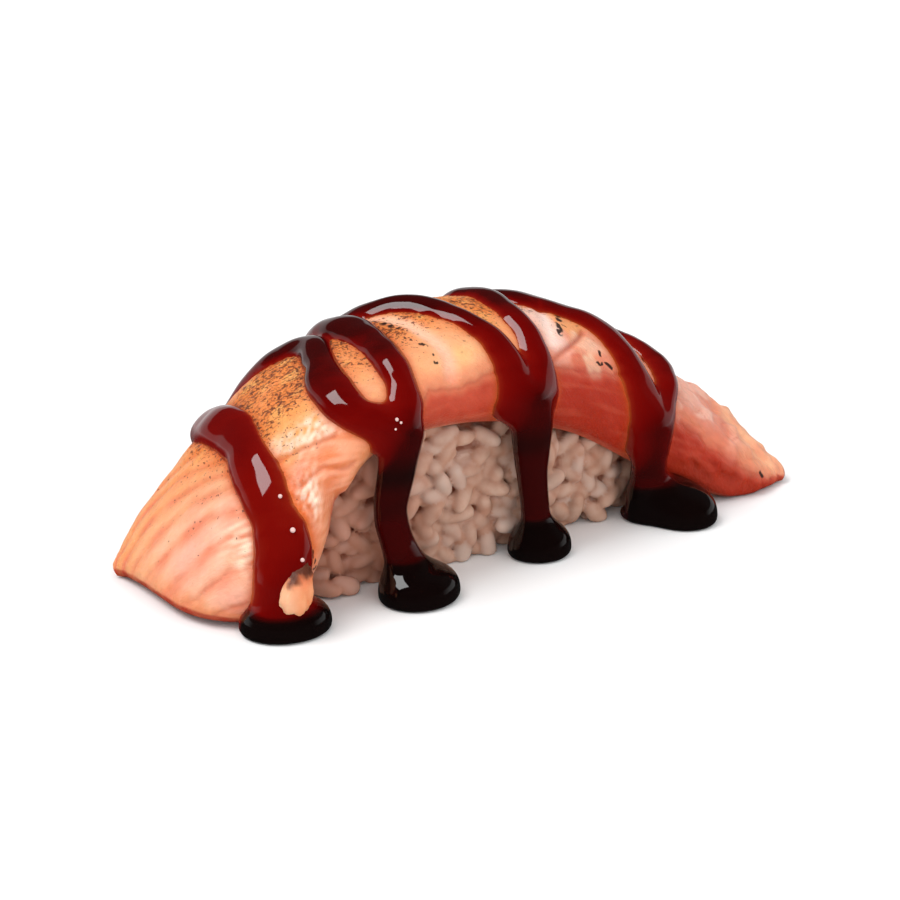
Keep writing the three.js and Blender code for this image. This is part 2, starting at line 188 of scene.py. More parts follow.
# ------------------------------------------------------------------ mesh helpers
def new_mesh(name, P, loops, counts, smooth=True):
    """P in millimetres in the slice's frame; loops and counts describe the polygons."""
    me = bpy.data.meshes.new(name)
    P = (np.asarray(P, float) + SHIFT) * 0.001
    loops = np.asarray(loops, np.int32)
    counts = np.asarray(counts, np.int32)
    me.vertices.add(len(P))
    me.vertices.foreach_set("co", P.astype(np.float32).ravel())
    me.loops.add(len(loops))
    me.loops.foreach_set("vertex_index", loops)
    me.polygons.add(len(counts))
    me.polygons.foreach_set("loop_start", np.r_[0, np.cumsum(counts)[:-1]].astype(np.int32))
    me.polygons.foreach_set("use_smooth", np.full(len(counts), smooth))
    me.update(calc_edges=True)
    me.validate()
    ob = bpy.data.objects.new(name, me)
    bpy.context.scene.collection.objects.link(ob)
    return ob


def set_attr(ob, name, kind, values):
    at = ob.data.attributes.new(name, kind, "POINT")
    values = np.asarray(values, np.float32)
    if kind == "FLOAT_COLOR":
        at.data.foreach_set("color", np.c_[values, np.ones(len(values), np.float32)].ravel())
    elif kind == "FLOAT_VECTOR":
        at.data.foreach_set("vector", values.ravel())
    else:
        at.data.foreach_set("value", values.ravel())


def tree_of(P, loops, counts):
    polys, k = [], 0
    L = np.asarray(loops).tolist()
    for c in np.asarray(counts).tolist():
        polys.append(L[k:k + c])
        k += c
    return BVHTree.FromPolygons([tuple(p) for p in np.asarray(P).tolist()], polys)


def relax(P, F, rounds, lam=0.5):
    e = np.unique(np.sort(np.vstack([F[:, [0, 1]], F[:, [1, 2]], F[:, [2, 3]], F[:, [3, 0]]]), axis=1), axis=0)
    deg = np.bincount(e.ravel(), minlength=len(P)).astype(float)[:, None]
    for k in range(rounds):
        for f in (lam, -lam * 1.03):
            s = np.zeros_like(P)
            np.add.at(s, e[:, 0], P[e[:, 1]])
            np.add.at(s, e[:, 1], P[e[:, 0]])
            P = P + f * (s / np.maximum(deg, 1) - P)
    return P


def pieces_of(F, n):
    parent = np.arange(n)
    e = np.vstack([F[:, [0, 1]], F[:, [1, 2]], F[:, [2, 3]]])
    while True:
        m = np.minimum(parent[e[:, 0]], parent[e[:, 1]])
        new = parent.copy()
        np.minimum.at(new, e[:, 0], m)
        np.minimum.at(new, e[:, 1], m)
        new = new[new]
        if (new == parent).all():
            return parent
        parent = new


def polygonise(field, h, lo, rounds):
    g = openvdb.FloatGrid(background=3.0)
    g.copyFromArray(np.ascontiguousarray(field))
    P, Q = g.convertToQuads(isovalue=0.0)
    P = np.asarray(P, float) * h + lo
    Q = np.asarray(Q, np.int64)
    lab = pieces_of(Q, len(P))
    ql = lab[Q[:, 0]]
    ids, cnt = np.unique(ql, return_counts=True)
    Q = Q[ql == ids[cnt.argmax()]]
    used = np.unique(Q)
    remap = np.full(len(P), -1)
    remap[used] = np.arange(len(used))
    P, Q = P[used], remap[Q]
    vol = 0.0
    for tri in ([0, 1, 2], [0, 2, 3]):
        t3 = P[Q[:, tri]]
        vol += np.einsum("ij,ij->i", t3[:, 0], np.cross(t3[:, 1], t3[:, 2])).sum()
    if vol < 0:
        Q = Q[:, ::-1]
    P = relax(P, Q, rounds)
    P[:, 2] = np.maximum(P[:, 2], 0.0)
    return P, Q


# ------------------------------------------------------------------ the slice of salmon
NU, NV, CU, CV = 440, 200, 110, 50


def u_at(t):
    return t * 0.7 + 0.3 * (1 - np.cos(np.pi * t)) / 2


def v_at(t):
    return (2 * t - 1) * 0.5 + 0.5 * np.sin(np.pi * (t - 0.5))


tu = np.linspace(0, 1, NU + 1)
tv = np.linspace(0, 1, NV + 1)
U, V = np.meshgrid(u_at(tu), v_at(tv), indexing="ij")
u, v = U.ravel(), V.ravel()
top0 = slice_skin(u, v, 1.0)
G = top0.reshape(NU + 1, NV + 1, 3)
# lengths along the slice and across it, in millimetres, measured on the skin
dU = np.linalg.norm(np.diff(G, axis=0), axis=2)
SU = np.vstack([np.zeros((1, NV + 1)), np.cumsum(dU, 0)])
SU = np.repeat(SU[:, NV // 2][:, None], NV + 1, 1)
dV = np.linalg.norm(np.diff(G, axis=1), axis=2)
SV = np.hstack([np.zeros((NU + 1, 1)), np.cumsum(dV, 1)])
SV = SV - SV[:, NV // 2][:, None]
su, sv = SU.ravel(), SV.ravel()
N = np.cross(np.gradient(G, axis=0), np.gradient(G, axis=1)).reshape(-1, 3)
N /= np.maximum(np.linalg.norm(N, axis=1), 1e-9)[:, None]
S2 = np.stack([su, sv, 0 * su], 1)

# how the muscle flakes lie: lines of one value of w run along the tail and turn down its front
alpha = 1.8 * u + 81 * np.maximum(u - 0.08, 0) ** 3
w_left = v + alpha + 0.055 * noise(S2 / [9, 7, 1], 3) + 0.022 * noise(S2 / [3.0, 2.2, 1], 4)
LINES = [-1.9, -1.5, -1.15, -0.85, -0.56, -0.27, -0.02, 0.21, 0.42, 0.60, 0.80, 1.02, 1.28, 1.6, 2.0]
ph = np.interp(w_left, LINES, np.arange(len(LINES), dtype=float))
fr_l = ph - np.floor(ph)
ridge_l = np.sin(np.pi * fr_l)                      # 0 in a crease, 1 on the back of a flake
left = 1 - step(0.235, 0.30, u)
right = step(0.72, 0.79, u)
ALONG = 0.80 * su - 0.60 * sv
ACROSS = 0.60 * su + 0.80 * sv
AA = np.stack([ALONG, ACROSS, 0 * su], 1)
fine_l = noise(AA / [6, 0.75, 1], 12)
crease_left = np.exp(-(np.minimum(fr_l, (1 - fr_l) * 0.45) / 0.15) ** 2) * left * np.clip(0.75 + 1.1 * noise(S2 / [5, 4, 1], 13), 0.1, 1.1)
knob = noise(S2 / [6.5, 4.6, 1], 11) + 0.45 * noise(S2 / [2.6, 2.0, 1], 14)
fr = np.abs(noise(S2 / [9.5, 6.5, 1] + 0.35 * noise(S2 / [3.5, 3, 1], 8)[:, None] * [1, 1, 0], 15)) + 0.10 * step(0.0, 0.3, noise(S2 / [6, 6, 1], 16))
crease_right = (1 - step(0.0, 0.10, fr)) * right
edge_fade = np.clip((1 - np.abs(v)) / 0.06, 0, 1) * np.clip(np.minimum(u, 1 - u) / 0.02, 0, 1)
rel = (0.42 * (np.sqrt(ridge_l) * (1.25 - 0.5 * fr_l) - 0.65) * np.clip(0.9 + 0.8 * noise(S2 / [8, 6, 1], 17), 0.3, 1.4) + 0.07 * fine_l) * left
rel += (1.15 * knob - 0.55 - 0.06 * crease_right + 0.16 * noise(S2 / [1.5, 1.2, 1], 19)) * right
rel += 0.34 * fbm(S2 / [9, 8, 1], 2, 21) + 0.07 * fbm(AA / [3.0, 1.2, 1], 2, 31)


def stroke(points, width):
    """Nearness, 1 on the line and 0 away from it, to a line drawn in (u, v); width in millimetres."""
    c = curve(points, 0.8, np.array([110.0, 18.0]))
    q = slice_skin(c[:, 0], np.clip(c[:, 1], -0.99, 0.99), 1.0)
    if len(q) == 1:
        q = np.vstack([q, q + 0.01])
    best = np.full(len(top0), 1e9)
    sel = np.where((np.abs(u - c[:, 0].mean()) < 0.5 * np.ptp(c[:, 0]) + 0.08) & (np.abs(v - c[:, 1].mean()) < 0.5 * np.ptp(c[:, 1]) + 0.45))[0]
    X = top0[sel]
    for i in range(len(q) - 1):
        ab = q[i + 1] - q[i]
        t_ = np.clip(((X - q[i]) @ ab) / max(ab @ ab, 1e-9), 0, 1)
        best[sel] = np.minimum(best[sel], np.linalg.norm(X - q[i] - t_[:, None] * ab, axis=1))
    return np.exp(-(best / width) ** 2)


# a pale groove over the crown between the third and fourth pass, and folds on the right
g_mid = stroke([(0.452, 0.25), (0.470, 0.05), (0.478, -0.16), (0.480, -0.30), (0.484, -0.45), (0.486, -0.62), (0.482, -0.74)], 1.0)
g_r1 = stroke([(0.640, 0.05), (0.627, -0.21), (0.617, -0.35), (0.609, -0.52)], 0.9)
g_r2 = stroke([(0.668, -0.30), (0.654, -0.40), (0.632, -0.52), (0.601, -0.66)], 0.55)
g_l1 = stroke([(0.345, -0.64), (0.326, -0.55), (0.302, -0.44), (0.280, -0.36)], 0.45)
g_l2 = stroke([(0.350, -0.93), (0.333, -0.87), (0.318, -0.78), (0.299, -0.68), (0.282, -0.62)], 0.45)
rel -= 0.50 * g_mid + 0.35 * g_r1 + 0.45 * g_r2 + 0.28 * g_l1 + 0.25 * g_l2
# seam between the torched top and the raw cut side
v_red = np.interp(u, [0, 0.22, 0.36, 0.43, 0.455, 0.486, 0.511, 0.531, 0.58, 0.60, 0.63, 0.66, 0.70, 0.76, 0.84, 0.92, 1],
                  [-1.3, -1.25, -1.12, -0.92, -0.80, -0.83, -0.80, -0.77, -0.74, -0.71, -0.72, -0.68, -0.62, -0.74, -0.84, -0.90, -1.1])
v_red = v_red + 0.035 * noise(S2 / [5, 50, 1], 6) + 0.02 * noise(S2 / [1.6, 50, 1], 7)
raw = step(0.10, -0.07, v - v_red)
v_redb = 0.80 + 0.05 * noise(S2 / [6, 50, 1], 9) + 0.10 * np.abs(2 * u - 1) ** 2
raw_b = step(-0.05, 0.06, v - v_redb)
rel -= 0.20 * bump1(v, v_red + 0.01, 0.022) * step(0.38, 0.45, u) * (1 - step(0.80, 0.86, u))
# torching: strongest along the crown, fading down both sides and towards the tails
sear = bump1(v, 0.12, 0.46) * np.interp(u, [0, 0.10, 0.16, 0.22, 0.26, 0.40, 0.55, 0.60, 0.68, 0.80, 1], [0, 0.0, 0.04, 0.22, 1.1, 1.1, 1, 0.85, 0.5, 0.10, 0.0])
sear = sear * (0.95 + 0.6 * noise(S2 / [7, 5, 1], 41)) + 0.12 * noise(AA / [2.4, 1.2, 1], 42)
sear = np.clip(sear, 0, 1) * (1 - raw) * (1 - raw_b) * (1 - 0.75 * g_mid) * (1 - 0.8 * g_r1)
pits = noise(AA / [1.0, 0.5, 1] + 0.5 * noise(AA / 1.0, 43)[:, None] * [1, 1, 0], 44)
rel += sear * (0.15 * pits + 0.10 * noise(AA / [0.7, 0.5, 1], 45))
# fat that bubbled up: a crumbly patch low on the left shoulder
fat = bump1(u, 0.282, 0.030) * bump1(v, -0.70, 0.15)
rel += 0.25 * fat * noise(S2 / 0.8, 51)
swellrel = 0.34 * fbm(S2 / [9, 8, 1], 2, 21) + 0.3 * knob * right
bed = top0 + N * (swellrel * edge_fade)[:, None]
top = top0 + N * (rel * edge_fade)[:, None]
top[:, 2] = np.maximum(top[:, 2], 0.0)
# the rim wanders a little so the cut edge isn't a ruled line
rim = 0.45 * fbm(S2 / [5, 400, 1], 3, 61) * step(0.88, 1.0, np.abs(v))
top[:, 1] += np.sign(v) * rim

# the passes of sauce, as rows of (u, v, share of the width)
PASSES = [
    [(0.118, -0.87, 1.10), (0.156, -0.83, 1.22), (0.203, -0.76, 1.32), (0.226, -0.66, 1.22), (0.234, -0.55, 1.05), (0.243, -0.42, 1.15), (0.253, -0.24, 1.12), (0.267, -0.08, 1.05), (0.277, 0.14, 1.15), (0.284, 0.38, 1.15), (0.294, 0.60, 1.05), (0.312, 0.78, 1.00), (0.338, 0.86, 0.95), (0.362, 0.76, 0.90)],
    [(0.352, 0.80, 0.85), (0.374, 0.62, 0.85), (0.388, 0.44, 0.85), (0.400, 0.20, 0.80), (0.387, -0.04, 0.80), (0.374, -0.26, 1.00), (0.370, -0.48, 0.95), (0.376, -0.70, 0.88), (0.400, -0.92, 1.05)],
    [(0.398, -0.95, 1.00), (0.421, -0.88, 1.00), (0.429, -0.66, 0.74), (0.431, -0.50, 0.76), (0.436, -0.22, 0.82), (0.438, 0.08, 0.92), (0.436, 0.36, 0.88), (0.440, 0.60, 0.85), (0.455, 0.78, 0.85)],
    [(0.448, 0.80, 0.85), (0.463, 0.52, 0.80), (0.478, 0.28, 0.80), (0.498, 0.12, 0.80), (0.519, -0.10, 0.78), (0.530, -0.32, 0.70), (0.540, -0.52, 0.72), (0.546, -0.70, 0.90), (0.550, -0.94, 1.10)],
    [(0.552, -0.96, 1.15), (0.572, -0.93, 1.20), (0.579, -0.74, 0.95), (0.583, -0.54, 0.78), (0.583, -0.34, 0.74), (0.586, -0.08, 0.76), (0.588, 0.18, 0.80), (0.584, 0.44, 0.85), (0.588, 0.66, 0.85), (0.602, 0.78, 0.85)],
    [(0.594, 0.80, 0.85), (0.608, 0.56, 0.85), (0.616, 0.36, 0.90), (0.627, 0.18, 0.95), (0.647, 0.02, 1.05), (0.680, -0.06, 1.05), (0.703, -0.24, 1.00), (0.712, -0.48, 0.98), (0.718, -0.70, 1.10), (0.730, -0.95, 1.10)],
    [(0.728, -0.95, 1.00), (0.742, -0.80, 0.85), (0.760, -0.60, 0.70), (0.774, -0.38, 0.72), (0.778, -0.16, 0.80), (0.766, 0.16, 0.85), (0.760, 0.42, 0.85), (0.766, 0.62, 0.80)],
]
FLOW = 1.65                                        # depth of sauce down the middle of a pass
edge = np.full(len(u), -9.0)                       # how far inside a pass each point of the skin lies
for n_pass, pts in enumerate(PASSES):
    c = curve(pts, 0.8, np.array([105.0, 16.0, 1.0]))
    q = slice_skin(c[:, 0], np.clip(c[:, 1], -0.985, 0.985), 1.0)
    half = BEAD_HALF * c[:, 2] * (1 + 0.06 * noise(np.stack([np.arange(len(c)) / 6.0, 0 * c[:, 0], 0 * c[:, 0] + n_pass], 1), 81))
    sel = np.where((u > c[:, 0].min() - 0.09) & (u < c[:, 0].max() + 0.09))[0]
    X = top0[sel]
    e1 = np.full(len(sel), -9.0)
    for i in range(len(q) - 1):
        ab = q[i + 1] - q[i]
        t_ = np.clip(((X - q[i]) @ ab) / max(ab @ ab, 1e-9), 0, 1)
        d_ = np.linalg.norm(X - q[i] - t_[:, None] * ab, axis=1)
        e1 = np.maximum(e1, half[i] + (half[i + 1] - half[i]) * t_ - d_)
    edge[sel] = -smin(-edge[sel], -e1, 0.55)
edge = edge + 0.14 * noise(S2 / [2.6, 2.6, 1], 83) + 0.36 * noise(S2 / [7, 7, 1], 84)
x_in = np.clip(1 - edge / BEAD_HALF, 0, 1)
swell = 1 + 0.16 * noise(S2 / [9, 6, 1], 85)
layer = FLOW * swell * (1 - x_in ** 2.3) ** 0.62 + 0.10 * np.clip(edge - BEAD_HALF, 0, 3)
layer = layer + 1.3 * bump1(u, 0.215, 0.045) * bump1(v, -0.90, 0.16) * np.clip(edge / 2.2, 0, 1)
layer = np.where(edge > 0, layer, edge * 0.9)
# bottom skin, coarser, sharing the rim with the top
iu = np.arange(0, NU + 1, NU // CU)
iv = np.arange(0, NV + 1, NV // CV)
tid = np.arange((NU + 1) * (NV + 1)).reshape(NU + 1, NV + 1)
bu, bv = np.meshgrid(u_at(tu)[iu], v_at(tv)[iv], indexing="ij")
bot = slice_skin(bu.ravel(), bv.ravel(), -1.0).reshape(CU + 1, CV + 1, 3)
bid = np.full((CU + 1, CV + 1), -1)
bid[0, :], bid[-1, :], bid[:, 0], bid[:, -1] = tid[0, iv], tid[-1, iv], tid[iu, 0], tid[iu, -1]
inner = [(i, j) for i in range(1, CU) for j in range(1, CV)]
base_n = len(top)
for k, (i, j) in enumerate(inner):
    bid[i, j] = base_n + k
P_salmon = np.vstack([top, np.array([bot[i, j] for i, j in inner])])
loops, counts = [], []
a, b, c, d = tid[:-1, :-1].ravel(), tid[1:, :-1].ravel(), tid[1:, 1:].ravel(), tid[:-1, 1:].ravel()
loops.append(np.stack([a, b, c, d], 1).ravel())
counts.append(np.full(len(a), 4))
n_top_faces = len(a)
extra = []
ku, kv = NU // CU, NV // CV
for i in range(CU):
    for j in range(CV):
        poly = [bid[i, j]]
        poly += [tid[i * ku, j * kv + q] for q in range(1, kv)] if i == 0 else []
        poly.append(bid[i, j + 1])
        poly += [tid[i * ku + q, NV] for q in range(1, ku)] if j == CV - 1 else []
        poly.append(bid[i + 1, j + 1])
        poly += [tid[NU, (j + 1) * kv - q] for q in range(1, kv)] if i == CU - 1 else []
        poly.append(bid[i + 1, j])
        poly += [tid[(i + 1) * ku - q, 0] for q in range(1, ku)] if j == 0 else []
        extra.append(poly)
loops.append(np.array([q for p in extra for q in p]))
counts.append(np.array([len(p) for p in extra]))
loops, counts = np.concatenate(loops), np.concatenate(counts)
# a lobe of the front edge that curls out over the first drip
fa, fb_ = np.meshgrid(np.linspace(0, np.pi, 25), np.linspace(0, 2 * np.pi, 32, endpoint=False), indexing="ij")
ex, ey, ez = np.sin(fa) * np.cos(fb_), np.sin(fa) * np.sin(fb_), np.cos(fa)
E = np.stack([ex, ey, ez], -1).reshape(-1, 3)
lobe = E * [2.3, 1.65, 3.9] * (1 - 0.12 * E[:, 2:3])
lobe = lobe * (1 + 0.16 * fbm(E * 2.1 + 4.0, 3, 77))[:, None]
lobe[:, 0] += 0.055 * lobe[:, 2] ** 2 - 0.8 + 0.22 * lobe[:, 2]
lobe[:, 1] += 0.05 * lobe[:, 2] ** 2 + 0.12 * lobe[:, 2]
lobe = lobe + [-39.35, -18.65, 7.2]
lobe_n = len(lobe)
lobe_off = len(P_salmon)
P_salmon = np.vstack([P_salmon, lobe])
q_ = np.arange(lobe_n).reshape(25, 32)
qa, qb = q_[:-1], q_[1:]
lobe_f = np.stack([qa, qb, np.roll(qb, -1, 1), np.roll(qa, -1, 1)], -1).reshape(-1, 4) + lobe_off
salmon_tree = tree_of(P_salmon[:lobe_off], loops, counts)
bed_tree = tree_of(np.vstack([bed, P_salmon[len(bed):lobe_off]]), loops, counts)
loops, counts = np.concatenate([loops, lobe_f.ravel()]), np.concatenate([counts, np.full(len(lobe_f), 4)])
salmon = new_mesh("salmon_slice", P_salmon, loops, counts)

# colour of the flesh, before specks
peach, cream, crease_shade = lin(243, 178, 136), lin(249, 200, 168), lin(232, 132, 98)
orange, flesh, tan = lin(236, 138, 84), lin(243, 164, 112), lin(246, 186, 110)
searc, raw1, raw2 = lin(230, 130, 56), lin(206, 82, 56), lin(176, 44, 20)
pinkr, white = lin(232, 150, 124), lin(255, 226, 190)
n_big = noise(S2 / [8, 6, 1], 71)
n_mid = noise(S2 / [3, 2.2, 1], 72)
n_sm = noise(S2 / [1.0, 0.8, 1], 73)
n_fib = noise(AA / [4.5, 0.7, 1], 75)
col = mix(np.tile(peach, (len(u), 1)), flesh, np.clip(0.45 * step(0.2, 0.4, u) + 0.35 * n_big + 0.15, 0, 1))
# left tail: paler on the backs of the flakes, partly the flesh's own tone and partly painted light on their tops;
# warmer towards the crown, the lower edge and the tip
col = mix(col, cream, np.clip(left * (0.75 * ridge_l + 0.5 * n_mid - 0.1) * step(0.02, 0.10, u), 0, 0.8))
col = mix(col, lin(246, 172, 150), np.clip(left * (0.62 + 0.7 * n_big) * step(0.25, -0.35, v - 1.5 * (u - 0.05)), 0, 0.85))
col = mix(col, lin(238, 156, 92), left * step(-0.10, 0.45, v + 2.2 * (u - 0.12)) * 0.75)
col = mix(col, orange, np.clip(0.95 * (1 - step(0.012, 0.050, u + 0.02 * n_mid)) * step(0.5, -0.3, v) + 0.9 * left * bump1(u, 0.150, 0.035) * step(-0.80, -0.93, v), 0, 1) * 0.8)
col = mix(col, lin(242, 150, 122), left * np.clip(bump1(u, 0.075, 0.035) * step(-0.55, -0.85, v), 0, 1) * 0.8)
# painted shade: darker pinkish brown in the creases between the flakes
col = mix(col, crease_shade, np.clip(crease_left * 0.85, 0, 1))
col = mix(col, lin(255, 236, 206), np.clip(left * bump1(u, 0.178, 0.036) * bump1(v, -0.58, 0.24) * (0.5 + 2.2 * n_fib + 1.2 * n_mid), 0, 0.95))
# shoulder between the first two passes
shoulder = bump1(u, 0.315, 0.055) * step(-0.02, -0.12, v)
col = mix(col, lin(244, 176, 96), np.clip(1.15 * shoulder * step(-0.52, -0.40, v), 0, 1) * 0.9)
col = mix(col, mix(np.tile(lin(232, 124, 72), (len(u), 1)), lin(246, 160, 124), np.clip(0.5 + 1.6 * n_fib, 0, 1)), np.clip(bump1(u, 0.32, 0.06) * step(-0.46, -0.56, v), 0, 1) * 0.9)
s_white = stroke([(0.347, -0.50), (0.332, -0.455), (0.315, -0.415), (0.300, -0.36), (0.287, -0.31)], 1.9)
col = mix(col, lin(255, 240, 216), np.clip(s_white * (0.85 + 1.2 * n_mid + 1.2 * n_sm), 0, 1))
col = mix(col, lin(255, 236, 214), np.clip(1.5 * bump1(u, 0.281, 0.020) * bump1(v, -0.70, 0.13) * (0.8 + 1.8 * n_sm + n_mid), 0, 1))
col = mix(col, lin(240, 132, 104), np.clip(bump1(u, 0.292, 0.018) * bump1(v, -0.57, 0.06), 0, 1) * 0.6)
col = mix(col, lin(200, 92, 44), np.clip(g_l1 * 0.75 + g_l2 * 0.50, 0, 1))
# front of the crown: smooth cream, with a small yellow painted highlight on it
col = mix(col, lin(250, 190, 140), bump1(u, 0.505, 0.045) * bump1(v, -0.62, 0.17) * 0.8)
col = mix(col, lin(255, 200, 126), bump1(u, 0.500, 0.012) * bump1(v, -0.60, 0.09) * 0.5)
# torched crown
col = mix(col, searc, np.clip(sear * 1.15, 0, 0.96))
col = mix(col, lin(246, 178, 100), np.clip(sear * 0.7 * step(0.05, 0.5, n_mid), 0, 1))
col = mix(col, lin(250, 190, 158), np.clip(g_mid * 1.2, 0, 0.9))
# right: pinker, paler knobs, then the raw red below
pale_r = step(0.575, 0.62, u)
col = mix(col, pinkr, np.clip(pale_r * (0.80 + 0.4 * n_mid), 0, 1) * (1 - 0.75 * np.clip(sear, 0, 1)))


def patch(pu, pv, wu, wv, rgb, weight, ragged=0.8):
    """A patch of another colour with a ragged rim, centred on (pu, pv)."""
    q = np.sqrt(((u - pu) / wu) ** 2 + ((v - pv) / wv) ** 2) + ragged * 0.5 * n_mid + ragged * 0.25 * n_sm
    return mix(col, lin(*rgb), weight * step(1.25, 0.75, q))


col = patch(0.612, -0.30, 0.022, 0.30, (242, 200, 184), 0.85)
col = patch(0.650, -0.24, 0.020, 0.22, (240, 160, 104), 0.95)
col = patch(0.608, -0.58, 0.024, 0.11, (244, 200, 184), 0.85)
col = patch(0.660, -0.45, 0.020, 0.10, (246, 190, 160), 0.8)
col = mix(col, lin(250, 214, 200), np.clip(g_r1 * 1.1, 0, 0.9))
col = mix(col, lin(196, 96, 72), np.clip(g_r2 * 0.8, 0, 0.8))
col = patch(0.634, -0.655, 0.011, 0.08, (206, 84, 64), 0.85)
col = patch(0.652, -0.650, 0.011, 0.09, (255, 224, 190), 1.0)
col = patch(0.680, -0.590, 0.014, 0.10, (238, 150, 124), 0.7)
# right tail: pale fat lumps high up, redder below, peach towards the tip
col = mix(col, lin(214, 112, 88), np.clip(right * 0.75, 0, 1))
lumps = np.clip(right * (0.9 * bump1(u, 0.812, 0.040) * bump1(v, -0.44, 0.20) + step(0.0, 0.26, knob + 0.35 * n_mid) * 0.9 * step(0.9, 0.84, u)), 0, 1)
col = mix(col, lin(240, 190, 170), lumps * 0.75)
col = mix(col, lin(214, 96, 70), np.clip(right * bump1(u, 0.845, 0.060) * bump1(v, -0.88, 0.10) * (0.9 + 0.8 * n_mid), 0, 0.9))
col = mix(col, lin(246, 180, 140), np.clip(step(0.85, 0.90, u) * (0.8 + 0.5 * n_mid) * step(-0.97, -0.86, v), 0, 1))
# painted shade: darker red in the creases of the right tail
col = mix(col, lin(196, 80, 60), np.clip(crease_right * 0.32, 0, 1))
deep = step(0.02, -0.22, v - v_red)
rawc = mix(np.tile(raw1, (len(u), 1)), raw2, np.clip(deep * 0.4 + 0.35 * n_mid + 0.75 * step(0.57, 0.60, u), 0, 1))
rawc = mix(rawc, lin(222, 112, 80), np.clip(0.35 * step(0.1, 0.5, noise(S2 / [9, 1.1, 1], 74)) * (1 - 0.6 * step(0.56, 0.60, u)), 0, 1))
col = mix(col, lin(228, 128, 92), np.clip(bump1(v, v_red + 0.08, 0.07) * step(0.4, 0.46, u) * 0.6, 0, 1))
col = mix(col, rawc, raw)
col = mix(col, rawc * 1.06, raw_b)
col = mix(col, lin(176, 60, 44), bump1(v, v_red + 0.005, 0.014) * step(0.42, 0.46, u) * 0.35)
# dark red along the foot of both tails, low down and at their rims and tips
foot = np.maximum(np.maximum(step(1.3, 0.7, top[:, 2]), step(-0.91, -0.965, v)), np.maximum(step(0.011, 0.004, u), step(0.990, 0.997, u))) * np.clip((1 - step(0.19, 0.24, u)) + step(0.76, 0.80, u), 0, 1)
col = mix(col, lin(176, 50, 26), np.clip(foot * (0.9 + 0.5 * n_mid), 0, 0.92))
# sauce soaks in at its edge: a brown margin on the flesh
stain = np.clip(np.exp(-np.clip(-edge, 0, 9) / (0.45 + 0.35 * np.clip(noise(S2 / 2.0, 97) + 0.3, 0, 1))) * step(-3, -0.1, edge), 0, 1)
col = mix(col, lin(206, 84, 30), stain * 0.8)
col = mix(col, lin(232, 110, 44), np.clip(np.exp(-np.clip(-edge - 0.2, 0, 9) / 1.3) * bump1(u, 0.265, 0.035) * step(-0.25, -0.40, v), 0, 1) * 0.95)
col *= (1 + 0.07 * n_sm + 0.05 * n_big + 0.05 * n_fib)[:, None]
col = np.clip(col, 0, 1)
under = np.tile(lin(216, 96, 66), (len(inner), 1))
ub, vb_ = bu[1:-1, 1:-1].ravel(), bv[1:-1, 1:-1].ravel()
fib = 0.5 + 0.5 * np.sin(vb_ * 16 + ub * 40 + 2.0 * np.sin(ub * 23))
under = mix(under, lin(236, 160, 126), (fib ** 3) * 0.7)
under = mix(under, lin(140, 36, 22), (1 - step(0.6, 2.0, P_salmon[len(u):len(u) + len(inner), 2])) * 0.8)
z_in = np.zeros(len(inner))
l_t = step(-4.0, 4.0, lobe[:, 2] - 6.9)
lobe_c = mix(np.tile(lin(246, 166, 118), (lobe_n, 1)), lin(238, 138, 84), np.clip(0.5 + fbm(E * 2, 2, 78), 0, 1) * 0.8)
# painted highlight: the lobe is paler on its left side, where the light falls on it
lobe_c = mix(lobe_c, lin(252, 206, 168), step(-0.1, -0.8, E[:, 0] + 0.3 * E[:, 2]) * 0.5)
lobe_c = mix(lobe_c, lin(226, 112, 66), step(0.0, 0.6, E[:, 2]) * 0.7)
char_l = step(0.30, 0.62, E[:, 2] + 0.45 * noise(lobe / 1.3, 79))
lobe_c = mix(lobe_c, lin(64, 24, 12), char_l * 0.9)
zl = np.zeros(lobe_n)
set_attr(salmon, "flesh", "FLOAT_COLOR", np.vstack([col, under, lobe_c]))
set_attr(salmon, "skin", "FLOAT_VECTOR", np.vstack([AA, np.stack([ub * 118, vb_ * 20, z_in - 3], 1), lobe]))
set_attr(salmon, "sear", "FLOAT", np.r_[sear, z_in, zl])
# places where single flecks of char sit
fleck = np.clip(0.50 * bump1(v, 0.05, 0.50) * np.interp(u, [0, 0.1, 0.2, 0.27, 0.6, 0.7, 1], [0.10, 0.45, 0.85, 1, 1, 0.5, 0.1]), 0, 1)
fleck = fleck + 0.85 * crease_left * np.interp(u, [0.04, 0.10, 0.15, 0.22], [0, 0.25, 0.9, 1]) * step(-0.65, -0.1, v + 1.4 * (u - 0.1))
fleck = fleck + 0.35 * shoulder * step(-0.5, -0.35, v) + 0.8 * g_l1
fleck = (np.clip(fleck, 0, 1) + 1.1 * bump1(u, 0.462, 0.017) * bump1(v, -0.12, 0.24) + 0.8 * bump1(u, 0.412, 0.012) * bump1(v, -0.05, 0.2)
         + 0.75 * bump1(u, 0.383, 0.016) * bump1(v, 0.18, 0.40) + 0.7 * bump1(u, 0.452, 0.014) * bump1(v, 0.22, 0.28)) * (1 - raw) * (1 - raw_b)
char = stroke([(0.280, -0.28), (0.2795, -0.30)], 0.55)
char = np.maximum(char, 0.95 * stroke([(0.660, 0.02), (0.652, -0.12), (0.640, -0.26), (0.626, -0.42)], 0.70) * step(-0.35, -0.02, noise(S2 / 0.9, 91)))
char = np.maximum(char, stroke([(0.672, -0.49), (0.670, -0.53)], 0.32) * step(-0.5, 0.0, noise(S2 / 0.6, 95)))
char = np.maximum(char, stroke([(0.662, -0.605), (0.668, -0.60), (0.676, -0.585), (0.681, -0.60)], 0.42) * step(-0.25, 0.05, noise(S2 / 0.7, 96)))
char = np.maximum(char, 0.9 * stroke([(0.913, -0.86), (0.919, -0.89)], 0.40))
